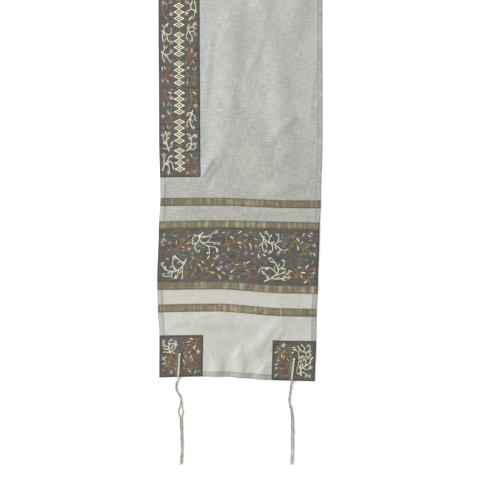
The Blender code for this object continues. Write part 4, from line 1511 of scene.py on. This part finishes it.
def add_leaves(art, every, gap):
    """Leaves to either side of the stems where there is room, then some in the open ground."""
    pace = int(every / STEM_STEP)
    for path, threads in art.twigs:
        side = art.random.choice([-1, 1])
        for index in range(pace // 2 + int(art.random.integers(3)), len(path) - 4, pace):
            step = path[index + 1] - path[index]
            turn = math.atan2(step[1], step[0]) + side * art.random.uniform(0.5, 0.8)
            ahead = ahead_of(turn)
            spot = path[index] + ahead * LEAF_ROOT
            if art.room(spot + ahead * np.array(LEAF_FEELERS)).min() > LEAF_ROOM:
                size = art.random.uniform(0.75, 1.0)
                art.put_motif("leaf", art.pick(threads["leaf"]), spot, turn, size, LEAF_REACH)
            side = -side
    for _ in range(FILLING_MOST):
        spot, clear = art.free_spot()
        if clear < gap:
            break
        turn = art.random.uniform(0, 2 * math.pi)
        start = spot - ahead_of(turn) * FILLING_BACK
        size = art.random.uniform(0.75, 1.0)
        art.put_motif("leaf", art.pick(FILLING_THREADS), start, turn, size, FILLING_REACH)


def stitched(name, art, surface, outlines=()):
    """Turns a collected embroidery into one piece, laid on its ground."""
    meshes = []
    for thread, paths in art.stems.items():
        if paths:
            inputs = {"Stitch Pitch": sizes().satin_pitch, "Material": finish(f"thread_{thread}")}
            meshes.append(grown(name, path_mesh(paths), "satin_stitch", inputs))
    if outlines:
        inputs = {"Stitch Pitch": sizes().satin_pitch, "Material": finish("thread_cream")}
        meshes.append(grown(name, path_mesh(outlines, closed=True), "satin_stitch", inputs))
    for (kind, thread), rows in art.motifs.items():
        meshes += motif_meshes(name, kind, thread, rows)
    return joined(name, meshes, surface)


def motif_meshes(name, kind, thread, rows):
    """The padded petals of one kind of motif, and the eye of a blossom."""
    if kind == "leaf":
        long = sizes().leaf_length
        reach, wide = (long * LEAF_SHARES[part] for part in ("reach", "width"))
        shapes = [(thread, 1, reach, long, wide, LEAF_HEIGHT)]
    elif kind == "dot":
        shapes = [(thread, 1, 0.0, DOT_LENGTH, DOT_WIDTH, PETAL_HEIGHT)]
    else:
        across = sizes().blossom_size
        petal = (across * share for share in PETAL_SHARES.values())
        eye = across * EYE_SHARE
        shapes = [
            (thread, sizes().petals, *petal, PETAL_HEIGHT),
            ("cream", 1, 0.0, eye, eye, EYE_HEIGHT),
        ]
    meshes = []
    for colour, petals, reach, long, wide, height in shapes:
        shape = {"Petals": petals, "Reach": reach, "Length": long, "Width": wide}
        shape |= {"Height": height, "Material": finish(f"thread_{colour}")}
        meshes.append(grown(name, point_mesh(rows), "padded_motif", shape))
    return meshes


def shrunk(box, margin):
    left, right, low, high = box
    return left + margin, right - margin, low + margin, high - margin


def fill_cells(art, box, columns, rows, first=0):
    """One spray a cell, with the threads in turn and other ones above each other."""
    for number, cell in enumerate(cells(art, box, columns, rows)):
        turn = number + first + 2 * (number // columns)
        spray(art, cell, THREAD_ROUNDS[turn % len(THREAD_ROUNDS)])


def band_embroidery(end, seed):
    """Two rows of sprays over the whole band."""
    plan = GROUNDS["band"]
    ground = end_box(end, RIBBON_IN["band_outer"] + RIBBON_WIDTH, RIBBON_IN["band_inner"])
    art = Embroidery(seed, shrunk(ground, plan["margin"]))
    fill_cells(art, shrunk(ground, plan["inset"]), *BAND_CELLS)
    add_leaves(art, plan["leaves"], plan["gap"])
    return stitched(f"embroidery_band_{end}", art, on_applique)


def lozenge(u, v, half_wide, half_tall, half_width):
    """A closed four-sided outline with slightly hollow sides."""
    tips = [(half_wide, 0), (0, half_tall), (-half_wide, 0), (0, -half_tall)]
    rows = []
    for (a, b), (c, d) in zip(tips, tips[1:] + tips[:1]):
        for k in range(LOZENGE_STEPS):
            t = k / LOZENGE_STEPS
            pull = 1 - LOZENGE_HOLLOW * math.sin(math.pi * t)
            rows.append((u + (a + (c - a) * t) * pull, v + (b + (d - b) * t) * pull, 0, half_width))
    return np.array(rows)


def neckband_embroidery():
    """A row of lozenges down the middle in groups, with sprigs along both sides."""
    plan = GROUNDS["neck"]
    inset = plan["inset"]
    left, right, low, high = NECK_BOX
    middle = (left + right) / 2
    bare = (middle - ROW_BARE, middle + ROW_BARE, low, high)
    art = Embroidery(31, shrunk(NECK_BOX, plan["margin"]), [bare])
    outlines = []
    v, k = low + ROW_START, 0
    while v < high - ROW_STOP:
        outlines.append(lozenge(middle, v, **LOZENGE))
        art.motifs.setdefault(("dot", "cream"), []).append((middle, v, 0.0, 0.0, 1.0))
        k += 1
        v += GROUP_PITCH if k % LOZENGE_GROUP == 0 else LOZENGE_PITCH
        if k % LOZENGE_GROUP == 0:
            half = BAR_HALF_LENGTH
            bar = np.array([[middle - half, v - BAR_BACK], [middle + half, v - BAR_BACK]])
            bar = bar[0] + (bar[1] - bar[0]) * np.linspace(0, 1, 8)[:, None]
            art.put_stem(bar, BAR_HALF_WIDTH, BAR_HALF_WIDTH, "gold")
    for number, start in enumerate((left + inset, middle + ROW_SIDE)):
        stop = start + middle - ROW_SIDE - left - inset
        fill_cells(art, (start, stop, low + inset, high - inset), *NECK_CELLS, number * 2)
    add_leaves(art, plan["leaves"], plan["gap"])
    return stitched("embroidery_neckband", art, on_applique, outlines)


def corner_embroidery(end, side, seed):
    """Sprigs round the eyelet, clear of it and of the strands that run from it to the edge."""
    plan = GROUNDS["corner"]
    box = square_box(end, side)
    hole_u, hole_v = hole_uv(end, side)
    edge = ENDS[end] * HALF_LENGTH
    low, high = min(hole_v, edge), max(hole_v, edge)
    strands = (hole_u - STRANDS_BARE, hole_u + STRANDS_BARE, low, high)
    eyelet = shrunk((hole_u, hole_u, hole_v, hole_v), -EYELET_BARE)
    art = Embroidery(seed, shrunk(box, plan["margin"]), [strands, eyelet])
    left, right, low, high = shrunk(box, plan["inset"])
    halves = ((left, hole_u - EYELET_SPRAYS), (hole_u + EYELET_SPRAYS, right))
    for number, (start, stop) in enumerate(halves):
        fill_cells(art, (start, stop, low, hole_v), 1, 1, seed + number)
        fill_cells(art, (start, stop, hole_v, high), 1, 1, seed + number + 2)
    add_leaves(art, plan["leaves"], plan["gap"])
    return stitched(f"embroidery_corner_{end}_{side}", art, on_applique)


def bind_eyelets():
    """A ring of stitches round each eyelet."""
    rows = []
    for end, side in CORNERS:
        hole_u, hole_v = hole_uv(end, side)
        for k in range(BINDING_STITCHES):
            turn = 2 * math.pi * k / BINDING_STITCHES
            u = hole_u + math.cos(turn) * (HOLE_RADIUS + BINDING_OUT)
            v = hole_v + math.sin(turn) * (HOLE_RADIUS + BINDING_OUT)
            rows.append((u, v, 0.0, turn, 1.0))
    shape = BINDING_SHAPE | {"Material": finish("thread_seam_slate")}
    bound = grown("eyelet", point_mesh(rows), "padded_motif", shape)
    return joined("eyelet_binding", [bound], on_applique)


# Tzitzit


def edge_point(end, side):
    """Where a tzitzit crosses the end edge of the cloth."""
    u = np.array([hole_uv(end, side)[0]])
    x, y = laid(u, np.array([ENDS[end] * HALF_LENGTH]))
    return float(x[0]), float(y[0])


def route(end, side, out):
    """Points of the floor at distances out from the cloth's edge, along the tzitzit."""
    x, y = edge_point(end, side)
    sideways = along_rows(ROUTES[f"{end}_{side}"], "out", "side", out)
    return np.stack([x + sideways, y + ENDS[end] * out], -1)


def doubled_strand(end, side, slot):
    """One strand out of the first knot, over the square, down the hole and back underneath."""
    sign = ENDS[end]
    u = hole_uv(end, side)[0]
    shift = float(along_rows(ROUTES[f"{end}_{side}"], "out", "side", np.array([0.0]))[0])
    knot = route(end, side, np.array([GEDIL_START]))[0]
    knot_z = GAP + KNOT_RADIUS
    radius = STRAND_THICK / 2

    def place(inward):
        row = (np.array([u]), np.array([sign * (HALF_LENGTH - inward)]))
        return (*(float(part[0]) for part in laid(*row)), float(on_applique(*row)[0]))

    def over(inward):
        x, y, top = place(inward)
        turn = math.pi / 2 * (slot + 1.5) + 2 * math.pi * inward / TWIST_TURN
        z = top + BUNDLE_CLEAR + radius + TWIST_TALL * (1 + math.sin(turn))
        return (x + shift * (1 - inward / HOLE_IN) + TWIST_WIDE * math.cos(turn), y, z)

    def under(inward):
        x, y, _ = place(inward)
        return (x + slot * DOUBLED_APART, y, GAP + radius)

    top, low = over(HOLE_IN), under(HOLE_IN)
    edge = over(0.0)
    points = [(knot[0] + slot * KNOT_SLOT, knot[1], knot_z + KNOT_STRAND_LIFT)]
    between = (edge[0] + knot[0] + slot * KNOT_SLOT) / 2
    points.append((between, edge[1] + sign * OVER_EDGE["out"], edge[2] + OVER_EDGE["lift"]))
    points += [over(inward) for inward in OVER_AT]
    drop = (top[2] - low[2]) / 2
    for share in HOLE_STOPS:
        angle = math.pi * share
        y = top[1] + sign * (HOLE_BOW[0] - HOLE_BOW[1] * math.sin(angle))
        points.append((top[0], y, low[2] + drop * (1 + math.cos(angle))))
    points += [under(inward) for inward in UNDER_AT]
    edge = under(0.0)
    between = (edge[0] + knot[0]) / 2
    points.append((between, edge[1] + sign * UNDER_EDGE["out"], low[2] + UNDER_EDGE["lift"]))
    points.append((knot[0] + slot * RETURN_SLOT, knot[1], knot_z - KNOT_STRAND_LIFT))
    return through(points, DOUBLED_STEP)


def loose_strand(end, side, index):
    """One loose strand from the last knot to its tip, wandering a little beside the others."""
    column, layer = index % STRANDS_IN_LAYER, index // STRANDS_IN_LAYER
    slot = column - (STRANDS_IN_LAYER - 1) / 2
    start = GEDIL_START + GEDIL_LENGTH
    long = TIP_Y - abs(edge_point(end, side)[1]) - start - TIP_STEPS[index]
    along = np.linspace(0, long, math.ceil(long / STRAND_STEP))
    spread = smooth(along / STRAND_SPREAD)
    pitch = STRAND_ROOT_PITCH + (STRAND_PITCH - STRAND_ROOT_PITCH) * spread
    opening = along_rows(PARTINGS[f"{end}_{side}"], "along", "open", along)
    place = route(end, side, start + along)
    phase = 1.7 * index + 2.3 * len(end) + 0.9 * len(side)
    waves = WANDER_WAVES[0] + WANDER_WAVES[1] * index
    wander = STRAND_WANDER * spread * np.sin(along * waves + phase)
    x = place[:, 0] + slot * pitch + math.copysign(1, slot) * opening + wander
    root_z = GAP + LAST_KNOT_RADIUS + (layer - 0.5) * STRAND_ROOT_PITCH
    rest_z = GAP + STRAND_THICK / 2 + layer * STRAND_LAYER
    z = root_z + (rest_z - root_z) * spread
    return np.stack([x, place[:, 1], z], -1)


def wound_points(end, side, spots, height, scale):
    """Points on the axis of the wound part, with its direction there and a size."""
    out = GEDIL_START + np.asarray(spots)
    place = route(end, side, out)
    direction = route(end, side, out + 0.0005) - place
    direction /= np.linalg.norm(direction, axis=1)[:, None]
    mesh = bpy.data.meshes.new("turns")
    rows = np.column_stack([place, np.broadcast_to(height, len(place))])
    mesh.from_pydata(rows.tolist(), [], [])
    vectors = np.column_stack([direction, np.zeros(len(place))])
    set_values(mesh, "direction", vectors, "FLOAT_VECTOR", "vector")
    set_values(mesh, "size", np.broadcast_to(scale, len(place)))
    return mesh


def tie_tzitzit(end, side):
    """Winds, knots and hangs one tzitzit as a single piece."""
    name = f"wool_tzitzit_{end}_{side}"
    wool = {"Material": finish("white_wool")}
    middle = (STRANDS_IN_LAYER - 1) / 2
    strands = [doubled_strand(end, side, k - middle) for k in range(STRANDS_IN_LAYER)]
    strands += [loose_strand(end, side, index) for index in range(STRANDS)]
    yarn = {"Turn Length": sizes().yarn_turn}
    meshes = [grown(name, path_mesh(strands), "spun_yarn", yarn | wool)]

    centre = GAP + WINDING_RADIUS + WINDING_LIFT
    out = GEDIL_START + np.arange(0.0, GEDIL_LENGTH, CORE_STEP)
    axis = np.column_stack([route(end, side, out), np.full(len(out), centre)])
    meshes.append(grown(name, path_mesh([axis]), "spun_yarn", CORE | wool))

    turns = []
    for k, winds in enumerate(WINDS):
        first = KNOTS_AT[k] + KNOT_LENGTH / 2
        turns += [first + (j + 0.5) * WIND_PITCH for j in range(winds)]
    thread = sizes().winding_thick / 2
    winding = {"Wrap Radius": WINDING_RADIUS - thread, "Thread Radius": thread}
    winding |= {"Slant": WINDING_SLANT}
    points = wound_points(end, side, turns, centre, 1.0)
    meshes.append(grown(name, points, "wound_thread", winding | wool))

    growth = np.array([1, 1, 1, 1, LAST_KNOT_RADIUS / KNOT_RADIUS])
    for ring in KNOT_RINGS:
        spots = [at + ring["shift"] for at in KNOTS_AT]
        points = wound_points(end, side, spots, GAP + KNOT_RADIUS, ring["size"] * growth)
        shape = KNOT_THREAD | {"Slant": ring["slant"]}
        meshes.append(grown(name, points, "wound_thread", shape | wool))

    piece = joined(name, meshes)
    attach(piece, "root")
    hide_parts(f"tzitzit_{end}_{side}")


# Seams


def box_path(box, inset, across_only=False):
    """The seam this far inside a rectangle: all round it, or only its lines across the cloth."""
    left, right, low, high = shrunk(box, inset)
    corners = [(left, low), (right, low), (right, high), (left, high), (left, low)]
    pairs = list(zip(corners, corners[1:]))
    if across_only:
        pairs = [pairs[0], pairs[2]]
    paths = []
    for (a, b), (c, d) in pairs:
        count = max(3, math.ceil(math.hypot(c - a, d - b) / SEAM_STEP))
        t = np.linspace(0, 1, count)
        paths.append(np.stack([a + (c - a) * t, b + (d - b) * t, np.zeros(count)], -1))
    return paths


def seam(name, paths, thread, surface, sink=0.0):
    """Rows of stitches as one piece, laid on a surface of the cloth and sunk into it."""
    inputs = {
        "Pitch": sizes().stitch_pitch,
        "Length": sizes().stitch_length,
        "Thickness": sizes().stitch_thick,
        "Material": finish(thread),
    }
    mesh = grown(name, path_mesh(paths), "seam_stitches", inputs)
    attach(joined(name, [mesh], lambda u, v: surface(u, v) - sink), "root")


def declared_sheet(piece, node):
    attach(piece, "root")
    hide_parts(node)


# Operators


class TALLIT_OT_stitch_seams(bpy.types.Operator):
    """Sew the hems, the ribbons and the dark pieces with rows of small stitches"""

    bl_idname = "tallit.stitch_seams"
    bl_label = "Stitch the Seams"

    def execute(self, context):
        inset = sizes().seam_inset
        panel = (-HALF_WIDTH, HALF_WIDTH, -HALF_LENGTH, HALF_LENGTH)
        seam("seam_hem", box_path(panel, HEM_SEAM_IN), "thread_seam_grey", face)
        boxes = [NECK_BOX]
        ribbons = []
        for end in ENDS:
            boxes += [square_box(end, side) for side in SIDES]
            for start in RIBBON_IN.values():
                box = end_box(end, start, start + RIBBON_WIDTH)
                ribbons += box_path(box, inset, across_only=True)
        dark = [path for box in boxes for path in box_path(box, inset)]
        seam("seam_dark", dark, "thread_seam_slate", on_applique, SEAM_SINK)
        seam("seam_ribbon", ribbons, "thread_seam_bronze", on_ribbon, SEAM_SINK)
        return {"FINISHED"}


class TALLIT_OT_embroider(bpy.types.Operator):
    """Embroider the neckband, the bands and the corner squares, and bind the eyelets"""

    bl_idname = "tallit.embroider"
    bl_label = "Embroider"

    def execute(self, context):
        pieces = [neckband_embroidery()]
        for number, end in enumerate(ENDS):
            pieces.append(band_embroidery(end, 11 + number))
            for side in SIDES:
                pieces.append(corner_embroidery(end, side, 21 + 2 * number + (side == "right")))
        pieces.append(bind_eyelets())
        for piece in pieces:
            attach(piece, "root")
        return {"FINISHED"}


class TALLIT_OT_lay_panel(bpy.types.Operator):
    """Lay the silk panel out flat, in its folds and creases"""

    bl_idname = "tallit.lay_panel"
    bl_label = "Lay the Panel"

    def execute(self, context):
        holes = [hole_uv(end, side) for end, side in CORNERS]
        across, along = [], []
        for side in SIDES.values():
            for inward in (*EDGE_LINES, HEM_WIDTH, HEM_WIDTH + HEM_SLOPE / 2, HEM_WIDTH + HEM_SLOPE):
                across.append(side * (HALF_WIDTH - inward))
                along.append(side * (HALF_LENGTH - inward))
        for hole_u, hole_v in holes:
            across += hole_lines(hole_u)
            along += hole_lines(hole_v)
        panel = cloth_shell(
            "silk_panel",
            lines(-HALF_WIDTH, HALF_WIDTH, PANEL_CELL[0], across),
            lines(-HALF_LENGTH, HALF_LENGTH, PANEL_CELL[1], along),
            underside,
            panel_thickness,
            finish("silver_silk"),
            holes,
        )
        declared_sheet(panel, "shawl_panel")
        return {"FINISHED"}


class TALLIT_OT_sew_neckband(bpy.types.Operator):
    """Sew the neckband along the left edge"""

    bl_idname = "tallit.sew_neckband"
    bl_label = "Sew the Neckband"

    def execute(self, context):
        band = applique("silk_neckband", NECK_BOX, NECK_CELL, finish("slate_silk"))
        declared_sheet(
            band, "neckband"
        )
        return {"FINISHED"}


class TALLIT_OT_sew_bands(bpy.types.Operator):
    """Sew the two embroidered bands and the eight ribbons across the cloth"""

    bl_idname = "tallit.sew_bands"
    bl_label = "Sew the Bands and Ribbons"

    def execute(self, context):
        for end in ENDS:
            box = end_box(end, BAND_OUTER_IN, BAND_INNER_IN)
            band = applique(f"silk_band_{end}", box, SLATE_CELL, finish("slate_silk"))
            declared_sheet(band, f"band_{end}")
            for place, start in RIBBON_IN.items():
                box = end_box(end, start, start + RIBBON_WIDTH)
                name, silk = f"ribbon_{end}_{place}", finish("bronze_ribbon")
                ribbon = applique(f"silk_{name}", box, RIBBON_CELL, silk, on_ribbon)
                declared_sheet(ribbon, name)
        return {"FINISHED"}


class TALLIT_OT_sew_corners(bpy.types.Operator):
    """Sew a square with its eyelet on each corner"""

    bl_idname = "tallit.sew_corners"
    bl_label = "Sew the Corner Squares"

    def execute(self, context):
        for end, side in CORNERS:
            name = f"corner_{end}_{side}"
            box, holes = square_box(end, side), [hole_uv(end, side)]
            silk = finish("slate_silk")
            square = applique(f"silk_{name}", box, SLATE_CELL, silk, holes=holes)
            declared_sheet(square, name)
        return {"FINISHED"}


class TALLIT_OT_tie_tzitzit(bpy.types.Operator):
    """Tie the four tzitzit through their eyelets"""

    bl_idname = "tallit.tie_tzitzit"
    bl_label = "Tie the Tzitzit"

    def execute(self, context):
        for end, side in CORNERS:
            tie_tzitzit(end, side)
        return {"FINISHED"}


class TALLIT_OT_set_stage(bpy.types.Operator):
    """Put down the pale floor and set the light and the camera"""

    bl_idname = "tallit.set_stage"
    bl_label = "Set the Stage"

    def execute(self, context):
        scene = context.scene
        half = sizes().floor_size / 2
        corners = [(-half, -half, 0), (half, -half, 0), (half, half, 0), (-half, half, 0)]
        material, shader, wires = new_material("pale_floor", 0.9, specular=0.1)
        shader.inputs["Emission Color"].default_value = WHITE
        shader.inputs["Emission Strength"].default_value = FLOOR_GLOW
        place = wires.add("ShaderNodeTexCoord", output=3)
        grain = wires.stretched_noise(place, (30.0, 30.0, 30.0))
        tone = wires.mix(grain, rgba(colours().floor, 0.995), rgba(colours().floor))
        finish_surface(wires, shader, tone, grain, 0.02, 0.0002)
        floor = add_piece("pale_floor", corners, [(0, 1, 2, 3)], material)
        floor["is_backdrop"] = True

        world = bpy.data.worlds.new("pale_room")
        world.use_nodes = True
        room = world.node_tree.nodes["Background"].inputs
        room["Color"].default_value = WHITE
        room["Strength"].default_value = ROOM_STRENGTH
        scene.world = world
        sky = bpy.data.lights.new("soft_skylight", "SUN")
        sky.angle = math.radians(24)
        sky.energy = sizes().light_strength
        hang(sky, SKY_PLACE)
        window = bpy.data.lights.new("soft_window", "AREA")
        window.shape = "DISK"
        window.size = 1.6
        window.energy = sizes().window_power
        hang(window, WINDOW_PLACE)

        camera_data = bpy.data.cameras.new("camera")
        camera_data.lens = CAMERA_LENS
        camera_data.sensor_width = 36.0
        camera_data.clip_end = 50.0
        camera = bpy.data.objects.new("camera", camera_data)
        camera.location = (*CAMERA_OVER, sizes().camera_height)
        scene.collection.objects.link(camera)
        scene.camera = camera
        scene.view_settings.view_transform = "Standard"
        return {"FINISHED"}


def hang(lamp, place):
    """Puts a lamp in the scene, turned towards the middle of the framed half of the shawl."""
    light = bpy.data.objects.new(lamp.name, lamp)
    x, y, z = np.array(LIT_SPOT) - np.array(place)
    light.location = place
    light.rotation_euler = (math.atan2(math.hypot(x, y), -z), 0.0, math.atan2(y, x) - math.pi / 2)
    bpy.context.scene.collection.objects.link(light)


class TALLIT_PT_sidebar(bpy.types.Panel):
    bl_label = "Tallit"
    bl_idname = "TALLIT_PT_sidebar"
    bl_space_type = "VIEW_3D"
    bl_region_type = "UI"
    bl_category = "Tallit"

    def draw(self, context):
        for group in (context.scene.tallit_sizes, context.scene.tallit_colours):
            box = self.layout.box()
            for key in group.__annotations__:
                box.prop(group, key)
        for operator in OPERATORS:
            self.layout.operator(operator.bl_idname)


OPERATORS = (
    TALLIT_OT_embroider,
    TALLIT_OT_stitch_seams,
    TALLIT_OT_lay_panel,
    TALLIT_OT_sew_neckband,
    TALLIT_OT_sew_bands,
    TALLIT_OT_sew_corners,
    TALLIT_OT_tie_tzitzit,
    TALLIT_OT_set_stage,
)
CLASSES = (TallitSizes, TallitColours, *OPERATORS, TALLIT_PT_sidebar)


def register():
    for cls in CLASSES:
        bpy.utils.register_class(cls)
    bpy.types.Scene.tallit_sizes = PointerProperty(type=TallitSizes)
    bpy.types.Scene.tallit_colours = PointerProperty(type=TallitColours)


def unregister():
    del bpy.types.Scene.tallit_colours
    del bpy.types.Scene.tallit_sizes
    for cls in reversed(CLASSES):
        bpy.utils.unregister_class(cls)


def main():
    register()
    for operator in OPERATORS:
        area, name = operator.bl_idname.split(".")
        getattr(getattr(bpy.ops, area), name)()
    boxes = {"cad": CAD_BOX, "visual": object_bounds()}
    {key: [list(corner) for corner in box] for key, box in boxes.items()}


if __name__ == "__main__":
    main()
